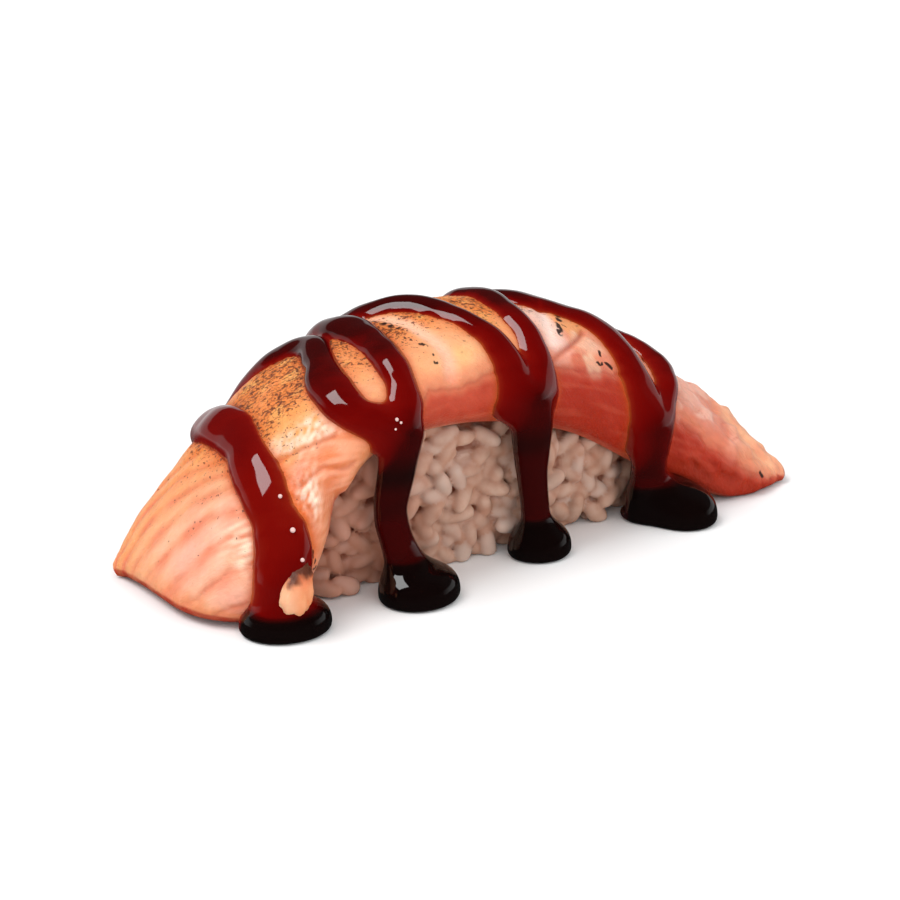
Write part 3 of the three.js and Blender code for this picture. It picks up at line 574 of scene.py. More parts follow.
char = np.maximum(char, 0.9 * stroke([(0.455, -0.10), (0.466, -0.30), (0.472, -0.45), (0.472, -0.62)], 0.5) * step(0.0, 0.3, noise(AA / [1.0, 0.7, 1], 92)))
char = np.maximum(char, 0.95 * stroke([(0.430, 0.24), (0.455, 0.12), (0.464, 0.0), (0.466, -0.12)], 0.7) * step(-0.2, 0.2, noise(AA / [1.0, 0.7, 1], 93)))
char = np.maximum(char, 0.9 * stroke([(0.245, -0.76), (0.250, -0.90), (0.247, -0.99)], 0.8) * step(-0.05, 0.2, noise(S2 / 0.9, 94)))
set_attr(salmon, "fleck", "FLOAT", np.r_[fleck, z_in, zl])
set_attr(salmon, "char", "FLOAT", np.r_[char, z_in, zl])
set_attr(salmon, "wet", "FLOAT", np.r_[np.clip(raw + raw_b + fat + 0.6 * right + 0.4 * left, 0, 1), z_in + 0.6, zl + 0.4])

# ------------------------------------------------------------------ the rice
rice_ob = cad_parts["rice"]
rm = rice_ob.data
rm.calc_loop_triangles()
rv = np.empty(len(rm.vertices) * 3, np.float32)
rm.vertices.foreach_get("co", rv)
rv = rv.reshape(-1, 3).astype(float) * 1000 - SHIFT
rt = np.empty(len(rm.loop_triangles) * 3, np.int32)
rm.loop_triangles.foreach_get("vertices", rt)
rt = rt.reshape(-1, 3)
key = np.round(rv, 3)
_, first, inv = np.unique(key, axis=0, return_index=True, return_inverse=True)
inv = inv.ravel()
rv, rt = rv[first], inv[rt]
rt = rt[(rt[:, 0] != rt[:, 1]) & (rt[:, 1] != rt[:, 2]) & (rt[:, 2] != rt[:, 0])]
A, B, C = rv[rt[:, 0]], rv[rt[:, 1]], rv[rt[:, 2]]
fn = np.cross(B - A, C - A)
area = np.linalg.norm(fn, axis=1) / 2
fn /= np.maximum(2 * area, 1e-12)[:, None]
vn = np.zeros_like(rv)
for k in range(3):
    np.add.at(vn, rt[:, k], fn * area[:, None])
vn /= np.maximum(np.linalg.norm(vn, axis=1), 1e-9)[:, None]


def scatter(count, gap, seed):
    """Points spread over the rice block's skin, no nearer to each other than gap."""
    r = np.random.default_rng(seed)
    tri = r.choice(len(rt), count, p=area / area.sum())
    a1, a2 = r.random(count), r.random(count)
    flip = a1 + a2 > 1
    a1, a2 = np.where(flip, 1 - a1, a1), np.where(flip, 1 - a2, a2)
    p = A[tri] + (B[tri] - A[tri]) * a1[:, None] + (C[tri] - A[tri]) * a2[:, None]
    keep, cells = [], {}
    for i in range(count):
        q = p[i]
        c = tuple((q // gap).astype(int))
        ok = True
        for dx in (-1, 0, 1):
            for dy in (-1, 0, 1):
                for dz in (-1, 0, 1):
                    for j in cells.get((c[0] + dx, c[1] + dy, c[2] + dz), ()):
                        if ((p[j] - q) ** 2).sum() < gap * gap:
                            ok = False
        if ok:
            cells.setdefault(c, []).append(i)
            keep.append(i)
    return p[keep], fn[tri[keep]]


def to_salmon(p):
    hit = salmon_tree.find_nearest(Vector(p))
    return hit[3], (Vector(p) - hit[0]).dot(hit[1])


RH = 0.36
RLO = rv.min(0) - 2.6
RLO[2] = -0.7
RD = np.ceil((rv.max(0) + 2.6 - RLO) / RH).astype(int)
rax = [RLO[k] + RH * np.arange(RD[k]) for k in range(3)]
RH = 0.34
RLO = rv.min(0) - 2.6
RLO[2] = -0.7
RD = np.ceil((rv.max(0) + 2.6 - RLO) / RH).astype(int)
rax = [RLO[k] + RH * np.arange(RD[k]) for k in range(3)]
rice_tree = BVHTree.FromPolygons([tuple(p) for p in rv.tolist()], rt.tolist())
# distance to the block's skin on a coarse grid, negative inside
CS = 4
cax = [RLO[k] + RH * CS * np.arange(RD[k] // CS + 2) for k in range(3)]
coarse = np.empty([len(c_) for c_ in cax])
for i, x in enumerate(cax[0]):
    for j, y in enumerate(cax[1]):
        # heights where a vertical line enters and leaves the block
        cuts, o = [], Vector((x + 0.0013, y + 0.0017, -5.0))
        while True:
            hit = rice_tree.ray_cast(o, Vector((0, 0, 1)))
            if hit[0] is None:
                break
            cuts.append(hit[0][2])
            o = hit[0] + Vector((0, 0, 1e-4))
        for k, z in enumerate(cax[2]):
            d_ = rice_tree.find_nearest(Vector((x, y, z)))[3]
            coarse[i, j, k] = -d_ if sum(c_ < z for c_ in cuts) % 2 else d_


def upsample(C, n, axis):
    t_ = np.arange(n) / CS
    i0 = np.minimum(t_.astype(int), C.shape[axis] - 2)
    f = (t_ - i0).reshape([-1 if k == axis else 1 for k in range(3)])
    return np.take(C, i0, axis) * (1 - f) + np.take(C, i0 + 1, axis) * f


hull = coarse
for k in range(3):
    hull = upsample(hull, RD[k], k)
rfield = (hull + 1.45).astype(np.float32)
best = np.full(rfield.shape, 9.0, np.float32)
second = np.full(rfield.shape, 9.0, np.float32)
owner = np.full(rfield.shape, 0.5, np.float32)


def add_grain(centre, normal, seed, tilt=0.35):
    """One cooked grain: a blunt, slightly bent capsule, fused a little with what it touches."""
    r = np.random.default_rng(seed)
    n = normal / np.linalg.norm(normal)
    t = np.cross(n, r.normal(size=3))
    t /= np.linalg.norm(t)
    if abs(n[2]) < 0.8 and r.random() < 0.5:
        h = np.cross(n, [0, 0, 1.0])
        h /= np.linalg.norm(h)
        t = h * math.copysign(1, r.normal()) + 0.6 * r.normal() * np.cross(n, h)
        t /= np.linalg.norm(t)
    t = t + n * r.uniform(-tilt, tilt)
    t /= np.linalg.norm(t)
    s = np.cross(n, t)
    s /= np.linalg.norm(s)
    m = np.cross(t, s)
    la, lb, lc = 2.72 * r.uniform(0.84, 1.12), 1.34 * r.uniform(0.90, 1.12), 1.24 * r.uniform(0.92, 1.08)
    bend, skew = r.uniform(-0.20, 0.20), r.uniform(-0.14, 0.14)
    i0 = np.clip(np.floor((centre - 3.9 - RLO) / RH).astype(int), 0, RD - 1)
    i1 = np.clip(np.ceil((centre + 3.9 - RLO) / RH).astype(int) + 1, 1, RD)
    w = tuple(slice(p, q) for p, q in zip(i0, i1))
    X, Y, Z = np.meshgrid(rax[0][w[0]] - centre[0], rax[1][w[1]] - centre[1], rax[2][w[2]] - centre[2], indexing="ij")
    x = (X * t[0] + Y * t[1] + Z * t[2]) / la
    y = X * s[0] + Y * s[1] + Z * s[2]
    z = X * m[0] + Y * m[1] + Z * m[2]
    y = y - bend * (1 - np.minimum(x * x, 1.4))
    fat_ = 1 + skew * np.clip(x, -1, 1)
    rr = np.sqrt((y / (lb * fat_)) ** 2 + (z / (lc * fat_)) ** 2)
    q = (np.abs(x) ** 2.45 + rr ** 2.45) ** (1 / 2.45)
    p_len = np.sqrt(X * X + Y * Y + Z * Z)
    d_ = np.where(q > 1e-3, p_len * (1 - 1 / np.maximum(q, 1e-3)), -1.3)
    d_ = np.clip(d_, -1.4, 3.0) * 0.85
    d_ = d_.astype(np.float32)
    rfield[w] = smin(rfield[w], d_, 0.17)
    owner[w] = np.where(d_ < best[w], r.random(), owner[w])
    second[w] = np.minimum(second[w], np.maximum(best[w], d_))
    best[w] = np.minimum(best[w], d_)


n_grain = 0


def grow_layer(count, gap, lo, hi, seed, tilt):
    global n_grain
    pts_, nor = scatter(count, gap, seed)
    r = np.random.default_rng(seed + 1)
    for k in range(len(pts_)):
        p, n = pts_[k], nor[k]
        if n[2] > 0.35 or n[2] < -0.8 or to_salmon(p)[0] < 0.5:
            continue
        c_ = p - n * r.uniform(lo, hi)
        c_[2] = max(c_[2], 0.95)
        add_grain(c_, n, seed * 1000 + k, tilt)
        n_grain += 1


grow_layer(9000, 2.05, 0.70, 1.60, 101, 0.40)
grow_layer(3000, 2.8, 1.7, 2.2, 202, 0.5)
# single grains standing proud of the heap's foot and front
for k, (x, y, z, nx, ny, nz) in enumerate([(-2.6, -10.6, 1.3, 0.2, -1, 0.1), (0.6, -11.2, 4.0, 0.1, -1, 0.3), (17.5, -10.4, 1.4, 0.2, -1, 0),
                                           (20.4, -10.2, 3.6, 0.5, -1, 0.1), (-30.5, -9.8, 1.5, -0.5, -1, 0), (-27.5, -10.9, 1.6, 0, -1, 0.2),
                                           (10.5, 12.0, 1.4, 0, 1, 0), (-14.0, 12.1, 1.8, 0, 1, 0.2), (-31.0, 10.2, 1.4, -1, 0.5, 0)]):
    add_grain(np.array([x, y, z]), np.array([nx, ny, nz], float), 9000 + k, 0.5)
    n_grain += 1
# cut the rice off at the floor: nothing of it goes below
zc = np.maximum(rfield, -((rax[2] - 0.02)[None, None, :] + 0 * rfield))
rfield = np.minimum(zc, 3.0).astype(np.float32)


rp, rq = polygonise(rfield, RH, RLO, 1)
grains = new_mesh("rice_grains", rp, rq.ravel(), np.full(len(rq), 4))
# how far below the heap's outer face each point lies: the material darkens and browns the hollows between grains as
# painted shade
ri = np.clip(np.round((rp - RLO) / RH).astype(int), 0, RD - 1)
below = -hull[ri[:, 0], ri[:, 1], ri[:, 2]]
# and the seams along which two grains touch, which the material darkens as painted shade
cr = (rp - RLO) / RH
c0 = np.clip(np.floor(cr).astype(int), 0, RD - 2)
cf = cr - c0
seam = np.zeros(len(rp))
for dx in (0, 1):
    for dy in (0, 1):
        for dz in (0, 1):
            wt = np.abs(1 - dx - cf[:, 0]) * np.abs(1 - dy - cf[:, 1]) * np.abs(1 - dz - cf[:, 2])
            at_ = (c0[:, 0] + dx, c0[:, 1] + dy, c0[:, 2] + dz)
            seam += wt * (second[at_] - best[at_])
seam = np.exp(-np.clip(seam, 0, 9) / 0.42)
set_attr(grains, "seam", "FLOAT", seam)
set_attr(grains, "grain", "FLOAT", owner[ri[:, 0], ri[:, 1], ri[:, 2]])
set_attr(grains, "below", "FLOAT", below)
print("grains", n_grain, "quads", len(rq), "tri", 2 * len(rq))

# ------------------------------------------------------------------ the sauce
DRIPS = [
    [(-40.9, -16.2, 7.0, 3.0), (-41.0, -16.6, 4.0, 3.1), (-40.4, -16.0, 1.6, 3.4)],
    [(-20.2, -14.6, 24.0, 3.4), (-21.4, -15.0, 18.8, 2.9), (-22.4, -14.9, 13.0, 2.6), (-21.6, -15.4, 8.2, 2.6), (-20.2, -16.2, 3.6, 3.2), (-19.8, -16.8, 1.6, 3.2)],
    [(1.8, -14.4, 23.6, 3.5), (2.1, -14.7, 20.6, 3.3), (1.9, -15.0, 17.6, 3.0), (2.2, -14.8, 13.0, 2.5), (2.8, -14.8, 7.6, 2.3), (3.4, -14.6, 3.2, 2.6), (3.6, -14.6, 1.6, 2.8)],
    [(24.0, -15.0, 14.5, 3.2), (24.0, -14.9, 10.5, 3.0), (24.6, -14.2, 6.5, 3.0), (25.6, -13.6, 3.0, 3.2), (26.0, -13.4, 1.6, 3.2)],
]
DRIP_FLAT = 0.72
POOLS = [
    (-40.0, -15.2, 6.3, 5.2, -18, 3.1),
    (-19.2, -17.4, 5.9, 5.2, 10, 3.3),
    (3.7, -14.9, 4.5, 4.2, 0, 2.9),
    (26.4, -13.4, 4.9, 4.4, 0, 4.4),
    (28.9, -15.6, 4.3, 4.1, 0, 3.4),
    (28.8, -18.7, 4.1, 3.8, 0, 2.9),
]
H = 0.30
LO = np.array([-49.0, -24.0, -0.8])
HI = np.array([35.0, 18.5, 39.5])
dims = np.ceil((HI - LO) / H).astype(int)
ax = [LO[k] + H * np.arange(dims[k]) for k in range(3)]


def window(lo, hi):
    i0 = np.clip(np.floor((lo - LO) / H).astype(int), 0, dims - 1)
    i1 = np.clip(np.ceil((hi - LO) / H).astype(int) + 1, 1, dims)
    return tuple(slice(a, b) for a, b in zip(i0, i1))


def grid_in(w):
    return np.meshgrid(ax[0][w[0]], ax[1][w[1]], ax[2][w[2]], indexing="ij")


def chain(field, P, R, squash=(1, 1, 1), join=None):
    """Lowers field to the distance to a chain of round cones, with a little room for blending."""
    sq = np.array(squash, float)
    for i in range(len(P) - 1):
        a_, b_ = P[i], P[i + 1]
        ra, rb = R[i], R[i + 1]
        m = max(ra, rb) + 3.2
        w = window(np.minimum(a_, b_) - m, np.maximum(a_, b_) + m)
        X, Y, Z = grid_in(w)
        ab = (b_ - a_) / sq
        L = max((ab ** 2).sum(), 1e-9)
        x, y, z = (X - a_[0]) / sq[0], (Y - a_[1]) / sq[1], (Z - a_[2]) / sq[2]
        t = np.clip((x * ab[0] + y * ab[1] + z * ab[2]) / L, 0, 1)
        d = np.sqrt((x - t * ab[0]) ** 2 + (y - t * ab[1]) ** 2 + (z - t * ab[2]) ** 2) - (ra + (rb - ra) * t)
        d *= sq.min()
        if join is None:
            field[w] = np.minimum(field[w], d)
        else:
            field[w] = smin(field[w], d, join)


FAR = 3.0
LG = layer.reshape(NU + 1, NV + 1)
layer_f = ((LG[:-1, :-1] + LG[1:, :-1] + LG[1:, 1:] + LG[:-1, 1:]) / 4).ravel()
field = np.full(dims, FAR, np.float32)
for pts in DRIPS:
    c = curve(pts, 0.8, np.array([1.0, 1.0, 1.0, 0.0]))
    s = np.arange(len(c)) * 0.8
    wob = 1 + 0.05 * noise(np.stack([s / 3.2, 0 * s + pts[0][0], 0 * s], 1), 82)
    one = np.full(dims, FAR, np.float32)
    chain(one, c[:, :3], c[:, 3] * wob, (1, DRIP_FLAT, 1))
    field = smin(field, one, 2.6)
for x, y, rx, ry, turn, h in POOLS:
    m = max(rx, ry) + 3
    w = window(np.array([x - m, y - m, -1.0]), np.array([x + m, y + m, h + 3]))
    X, Y, Z = grid_in(w)
    a_ = math.radians(turn)
    px = ((X - x) * math.cos(a_) + (Y - y) * math.sin(a_)) / rx
    py = (-(X - x) * math.sin(a_) + (Y - y) * math.cos(a_)) / ry
    zc, zr = 0.8, h + 0.5
    pz = (Z - zc) / np.where(Z > zc, zr, 1.5)
    rr = ((px ** 2 + py ** 2) ** 1.25 + np.abs(pz) ** 2.5) ** (1 / 2.5)
    field[w] = smin(field[w], ((rr - 1) * min(rx, ry) * 0.75).astype(np.float32), 2.4)

# lay the passes on the skin, and keep all of it on the outside of the fish: half a millimetre under its skin at most
mask = field < 1.2
on = edge > -1.4
for h in np.arange(-0.9, 3.3, 0.3):
    ii = np.round((top[on] + N[on] * h - LO) / H).astype(int)
    ii = ii[((ii >= 1) & (ii < dims - 1)).all(1)]
    for dx in (-1, 0, 1):
        for dy in (-1, 0, 1):
            for dz in (-1, 0, 1):
                mask[ii[:, 0] + dx, ii[:, 1] + dy, ii[:, 2] + dz] = True
BG = bed.reshape(NU + 1, NV + 1, 3)
near = np.argwhere(mask)
P = LO + near * H
keep_d = np.empty(len(near))
lay = np.full(len(near), -4.0)
for k in range(len(near)):
    hit = bed_tree.find_nearest(Vector(P[k]), 8.0)
    if hit[0] is None:
        keep_d[k] = 9.0
        continue
    sgn = (P[k][0] - hit[0][0]) * hit[1][0] + (P[k][1] - hit[0][1]) * hit[1][1] + (P[k][2] - hit[0][2]) * hit[1][2]
    keep_d[k] = hit[3] if sgn > 0 else -hit[3]
    if hit[2] < n_top_faces:
        i_, j_ = divmod(hit[2], NV)
        best_w, best_l = 0.0, 0.0
        for di in (0, 1):
            for dj in (0, 1):
                c_ = BG[i_ + di, j_ + dj]
                w_ = 1.0 / (1e-4 + (c_[0] - hit[0][0]) ** 2 + (c_[1] - hit[0][1]) ** 2 + (c_[2] - hit[0][2]) ** 2)
                best_w += w_
                best_l += w_ * LG[i_ + di, j_ + dj]
        lay[k] = best_l / best_w
    elif P[k][1] > -12.5 and P[k][2] > 1.0:
        keep_d[k] = -9.0            # under the slice
vals = smin(field[near[:, 0], near[:, 1], near[:, 2]], (keep_d - lay).astype(np.float32), 1.4)
vals = np.maximum(vals, -(keep_d + 0.6))
zz = P[:, 2]
vals = np.maximum(vals, -zz)
field[:] = FAR
field[near[:, 0], near[:, 1], near[:, 2]] = vals
field = np.minimum(field, 1.6)
for k in range(3):                                 # surface tension: round off what the grid leaves sharp
    for axis in range(3):
        if axis == 2 and k:
            continue
        field = 0.25 * np.roll(field, 1, axis) + 0.5 * field + 0.25 * np.roll(field, -1, axis)
field = np.maximum(field, -(LO[2] + H * np.arange(dims[2]))[None, None, :]).astype(np.float32)
pts, quads = polygonise(field, H, LO, 20)
BUBBLES = [(0.257, -0.55, 0.30), (0.243, -0.72, 0.38), (0.226, -0.84, 0.30), (0.393, -0.61, 0.20), (0.404, -0.86, 0.26), (0.408, -0.885, 0.20), (0.400, -0.90, 0.17)]
sauce_tree = BVHTree.FromPolygons([tuple(p) for p in pts.tolist()], quads.tolist())


def beads(spots, tree, count, grid=(9, 12)):
    """Small domes standing on a skin: for each (u, v, radius) the points and the quads of one ball."""
    P_, F_ = [], []
    a1, a2 = np.meshgrid(np.linspace(0.02, np.pi - 0.02, grid[0]), np.linspace(0, 2 * np.pi, grid[1], endpoint=False), indexing="ij")
    ball = np.stack([np.sin(a1) * np.cos(a2), np.sin(a1) * np.sin(a2), np.cos(a1)], -1).reshape(-1, 3)
    cell = np.arange(grid[0] * grid[1]).reshape(grid)
    f_ = np.stack([cell[:-1], cell[1:], np.roll(cell[1:], -1, 1), np.roll(cell[:-1], -1, 1)], -1).reshape(-1, 4)
    for u_, v_, r_ in spots:
        k_ = np.argmin(((u - u_) * 6) ** 2 + (v - v_) ** 2)
        hit_ = tree.ray_cast(Vector(top[k_] + N[k_] * 9), Vector(-N[k_]))
        if hit_[0] is None:
            continue
        F_.append(f_ + count + len(P_) * len(ball))
        P_.append(np.array(hit_[0]) + ball * r_ + N[k_] * r_ * 0.25)
    return np.vstack(P_), np.vstack(F_)


bub_p, bub_f = beads(BUBBLES, sauce_tree, len(pts))
n_body = len(pts)
pts, quads = np.vstack([pts, bub_p]), np.vstack([quads, bub_f])
sauce = new_mesh("sauce_glaze", pts, quads.ravel(), np.full(len(quads), 4))
print("sauce quads", len(quads))
# depth of sauce under each point, to what it lies on; the torched crown under it and the drops hanging clear read as deeper
depth = np.empty(len(pts))
sear_f = sear.reshape(NU + 1, NV + 1)[:-1, :-1].ravel()
for k, p in enumerate(pts):
    hit = salmon_tree.find_nearest(Vector(p), 6.0)
    d1 = 6.0
    if hit[0] is not None:
        thin = hit[2] < n_top_faces
        d1 = hit[3] * (1.0 if p[0] > -33 else 0.62) + ((2.7 if p[0] > -33 else 0.8) * sear_f[hit[2]] * min(hit[3] / 0.8, 1.0) if thin else 1.0)
    hit = rice_tree.find_nearest(Vector(p), 6.0)
    d2 = 6.0 if hit[0] is None else hit[3] + 2.2
    depth[k] = min(d1, d2, 3.4)
hang = step(-12.9, -14.3, pts[:, 1])
depth += hang * step(2.6, 3.1, depth) * np.clip(0.5 + 1.5 * noise(pts / [60, 60, 5.0], 98), 0, 1.3)
deeper = np.where(pts[:, 0] > -33, 1.0, 0.0)
pool = step(0.0, 1.0, (5.0 + 3.5 * deeper - pts[:, 2]) / (2.4 + 1.4 * deeper)) * step(-12.5, -14.5, pts[:, 1])
depth = np.maximum(depth, 5.6 * pool)
# the bubble domes get a depth of -1, which the material paints pale pink as a painted highlight
depth[n_body:] = -1.0
set_attr(sauce, "depth", "FLOAT", depth)
set_attr(sauce, "skin", "FLOAT_VECTOR", pts)


# ------------------------------------------------------------------ materials
def material(name):
    m = bpy.data.materials.new(name)
    m.use_nodes = True
    t = m.node_tree
    t.nodes.clear()
    out = t.nodes.new("ShaderNodeOutputMaterial")
    b = t.nodes.new("ShaderNodeBsdfPrincipled")
    t.links.new(b.outputs[0], out.inputs[0])
    return m, t, b


def node(t, kind, **kw):
    n = t.nodes.new("ShaderNode" + kind)
    for k, val in kw.items():
        setattr(n, k, val)
    return n


def put(t, sock, val):
    if isinstance(val, bpy.types.NodeSocket):
        t.links.new(val, sock)
    elif isinstance(val, (tuple, list, np.ndarray)):
        sock.default_value = tuple(float(q) for q in val) if len(val) != 3 or sock.type != "RGBA" else (float(val[0]), float(val[1]), float(val[2]), 1.0)
    else:
        sock.default_value = val


def maths(t, op, a_, b_=None, c_=None, clamp=False):
    n = node(t, "Math", operation=op, use_clamp=clamp)
    put(t, n.inputs[0], a_)
    if b_ is not None:
        put(t, n.inputs[1], b_)
    if c_ is not None:
        put(t, n.inputs[2], c_)
    return n.outputs[0]


def blend(t, f, a_, b_, how="MIX"):
    n = node(t, "Mix", data_type="RGBA", blend_type=how)
    put(t, n.inputs[0], f)
    put(t, n.inputs[6], a_)
    put(t, n.inputs[7], b_)
    return n.outputs[2]


def ramp(t, f, stops, interp="LINEAR"):
    n = node(t, "ValToRGB")
    n.color_ramp.interpolation = interp
    e = n.color_ramp.elements
    while len(e) < len(stops):
        e.new(0.5)
    for k, (pos, c) in enumerate(stops):
        e[k].position = pos
        e[k].color = (c, c, c, 1) if np.isscalar(c) else (*[float(q) for q in c], 1)
    put(t, n.inputs[0], f)
    return n.outputs[0]


def attr(t, name):
    return node(t, "Attribute", attribute_name=name)


def scaled(t, vec, s, shift=(0, 0, 0)):
    n = node(t, "Mapping")
    put(t, n.inputs["Vector"], vec)
    n.inputs["Location"].default_value = shift
    n.inputs["Scale"].default_value = s
    return n.outputs[0]


def tex_noise(t, vec, scale, detail=2.0, rough=0.5, dist=0.0):
    n = node(t, "TexNoise")
    put(t, n.inputs["Vector"], vec)
    n.inputs["Scale"].default_value = scale
    n.inputs["Detail"].default_value = detail
    n.inputs["Roughness"].default_value = rough
    n.inputs["Distortion"].default_value = dist
    return n.outputs[0]


# flesh: colour laid out per point, torched specks and fine grain from noise
m_fish, t, b = material("seared_flesh")
flesh_c = attr(t, "flesh").outputs["Color"]
skin_v = attr(t, "skin").outputs["Vector"]
sear_s = attr(t, "sear").outputs["Fac"]
fleck_s = attr(t, "fleck").outputs["Fac"]
char_s = attr(t, "char").outputs["Fac"]
wet_s = attr(t, "wet").outputs["Fac"]


def over(t, thresh, n, soft):
    """1 where the noise n is below thresh, with a soft rim."""
    return ramp(t, maths(t, "ADD", maths(t, "SUBTRACT", thresh, n), 0.5), [(0.5, 0.0), (0.5 + soft, 1.0)])


n1 = tex_noise(t, scaled(t, skin_v, (1.9, 2.5, 1.0)), 1.0, 2.0, 0.6, 0.5)
n2 = tex_noise(t, scaled(t, skin_v, (1.5, 1.9, 1.0), (7, 3, 0)), 1.0, 2.0, 0.6, 0.4)
n3 = tex_noise(t, scaled(t, skin_v, (1.5, 1.9, 1.0), (21, 13, 0)), 1.0, 1.0, 0.5, 0.3)
n4 = tex_noise(t, scaled(t, skin_v, (0.35, 0.6, 1.0), (3, 33, 0)), 1.0, 2.0, 0.6, 0.5)
specks = over(t, maths(t, "MULTIPLY_ADD", sear_s, 0.24, 0.29), n1, 0.10)
thick_s = maths(t, "ADD", maths(t, "MULTIPLY", sear_s, 0.18), maths(t, "MULTIPLY", n4, 0.30))
blots = over(t, maths(t, "ADD", thick_s, 0.155), n2, 0.05)
single = over(t, maths(t, "MULTIPLY_ADD", fleck_s, 0.125, 0.225), n3, 0.03)
have = ramp(t, sear_s, [(0.04, 0.0), (0.22, 1.0)])
havef = ramp(t, fleck_s, [(0.03, 0.0), (0.15, 1.0)])
c = blend(t, maths(t, "MULTIPLY", maths(t, "MULTIPLY", specks, have), 0.58), flesh_c, lin(148, 66, 28))
c = blend(t, maths(t, "MULTIPLY", maths(t, "MULTIPLY", blots, have), 0.82), c, lin(84, 34, 14))
c = blend(t, maths(t, "MULTIPLY", maths(t, "MULTIPLY", single, havef), 0.80), c, lin(78, 32, 12))
c = blend(t, ramp(t, char_s, [(0.35, 0.0), (0.62, 0.95)]), c, lin(34, 16, 10))
put(t, b.inputs["Base Color"], c)
put(t, b.inputs["Roughness"], maths(t, "MULTIPLY_ADD", wet_s, -0.16, 0.46))
b.inputs["Specular IOR Level"].default_value = 0.4
b.inputs["Subsurface Weight"].default_value = 0.25
b.inputs["Subsurface Radius"].default_value = (1.0, 0.38, 0.22)
b.inputs["Subsurface Scale"].default_value = 0.0014
fine = tex_noise(t, scaled(t, skin_v, (1.2, 2.6, 1.0)), 1.0, 4.0, 0.6, 0.3)
height = maths(t, "MULTIPLY_ADD", specks, -0.30, fine)
bp = node(t, "Bump")
bp.inputs["Strength"].default_value = 0.45
bp.inputs["Distance"].default_value = 0.0005
put(t, bp.inputs["Height"], height)
t.links.new(bp.outputs[0], b.inputs["Normal"])
salmon.data.materials.append(m_fish)

# rice
m_rice, t, b = material("cooked_rice")
hollow_shade_s = attr(t, "below").outputs["Fac"]
co = node(t, "TexCoord").outputs["Object"]
mott = tex_noise(t, scaled(t, co, (420, 420, 420)), 1.0, 3.0, 0.55, 0.0)
c = blend(t, ramp(t, mott, [(0.35, 0.0), (0.68, 1.0)]), lin(208, 172, 152), lin(196, 154, 132))
c = blend(t, maths(t, "MULTIPLY", ramp(t, attr(t, "grain").outputs["Fac"], [(0.35, 0.0), (1.0, 1.0)]), 0.60), c, lin(214, 194, 182))
sx = node(t, "SeparateXYZ")
t.links.new(co, sx.inputs[0])
# painted light and shade: the left end of the heap is tinted redder and darker, for light coming through the fish
c = blend(t, maths(t, "MULTIPLY", ramp(t, maths(t, "MULTIPLY_ADD", sx.outputs[0], -40.0, 0.0), [(0.50, 0.0), (0.85, 1.0)]), 0.50), c, lin(204, 128, 102))
# painted shade: darker brown along the seams between grains
c = blend(t, maths(t, "MULTIPLY", attr(t, "seam").outputs["Fac"], 0.55), c, lin(172, 104, 72))
# painted shade: darker and browner in the hollows between grains
c = blend(t, ramp(t, maths(t, "MULTIPLY", hollow_shade_s, 0.3), [(0.16, 0.0), (0.30, 0.45), (0.50, 0.92)]), c, lin(140, 66, 38))
put(t, b.inputs["Base Color"], c)
b.inputs["Roughness"].default_value = 0.24
b.inputs["Specular IOR Level"].default_value = 0.36
b.inputs["Subsurface Weight"].default_value = 0.35
b.inputs["Subsurface Radius"].default_value = (1.0, 0.62, 0.45)
b.inputs["Subsurface Scale"].default_value = 0.0008
bp = node(t, "Bump")
bp.inputs["Strength"].default_value = 0.10
bp.inputs["Distance"].default_value = 0.0003
put(t, bp.inputs["Height"], mott)
t.links.new(bp.outputs[0], b.inputs["Normal"])
grains.data.materials.append(m_rice)

# sauce: dark where it is deep, red brown where it thins out to nothing
m_sauce, t, b = material("dark_glaze")
dep = attr(t, "depth").outputs["Fac"]
deepness = maths(t, "DIVIDE", dep, 6.0)
c = ramp(t, deepness, [(0.0, (0.40, 0.09, 0.025)), (0.025, (0.32, 0.045, 0.010)), (0.07, (0.22, 0.010, 0.004)), (0.16, (0.170, 0.0030, 0.0018)),
                       (0.30, (0.125, 0.0015, 0.0012)), (0.50, (0.050, 0.0012, 0.0011)), (0.78, (0.006, 0.0018, 0.0016)), (1.0, (0.003, 0.0016, 0.0015))])
# painted highlight: the bubble domes, at depth -1, are pale pink
c = blend(t, ramp(t, maths(t, "MULTIPLY", dep, -1.0), [(0.3, 0.0), (0.8, 1.0)]), c, lin(232, 196, 190))
put(t, b.inputs["Base Color"], c)
b.inputs["Roughness"].default_value = 0.055
b.inputs["IOR"].default_value = 1.46
b.inputs["Specular IOR Level"].default_value = 0.5
sauce.data.materials.append(m_sauce)

# ------------------------------------------------------------------ what stands for what
for ob, name in ((salmon, "salmon"), (grains, "rice"), (sauce, "sauce")):
    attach(ob, "root")
    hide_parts(name)

# ------------------------------------------------------------------ floor, light, camera
me = bpy.data.meshes.new("floor")
me.from_pydata([(-4, -4, 0), (4, -4, 0), (4, 4, 0), (-4, 4, 0)], [], [(0, 1, 2, 3)])
floor = bpy.data.objects.new("floor", me)
bpy.context.scene.collection.objects.link(floor)
m_floor, t, b = material("plain_floor")
co = node(t, "TexCoord").outputs["Object"]
put(t, b.inputs["Base Color"], blend(t, tex_noise(t, co, 3.0, 2.0), (0.93, 0.93, 0.93), (0.95, 0.95, 0.95)))
b.inputs["Roughness"].default_value = 0.6
b.inputs["Specular IOR Level"].default_value = 0.1
dim = t.nodes.new("ShaderNodeEmission")
dt = node(t, "VectorMath", operation="DOT_PRODUCT")
t.links.new(co, dt.inputs[0])
dt.inputs[1].default_value = (0.574, 0.819, 0.0)
put(t, dim.inputs["Strength"], ramp(t, maths(t, "MULTIPLY_ADD", dt.outputs["Value"], 4.0, 0.12), [(0.2, 0.03), (0.55, 0.8)]))
pick = t.nodes.new("ShaderNodeMixShader")
t.links.new(node(t, "LightPath").outputs["Is Glossy Ray"], pick.inputs[0])
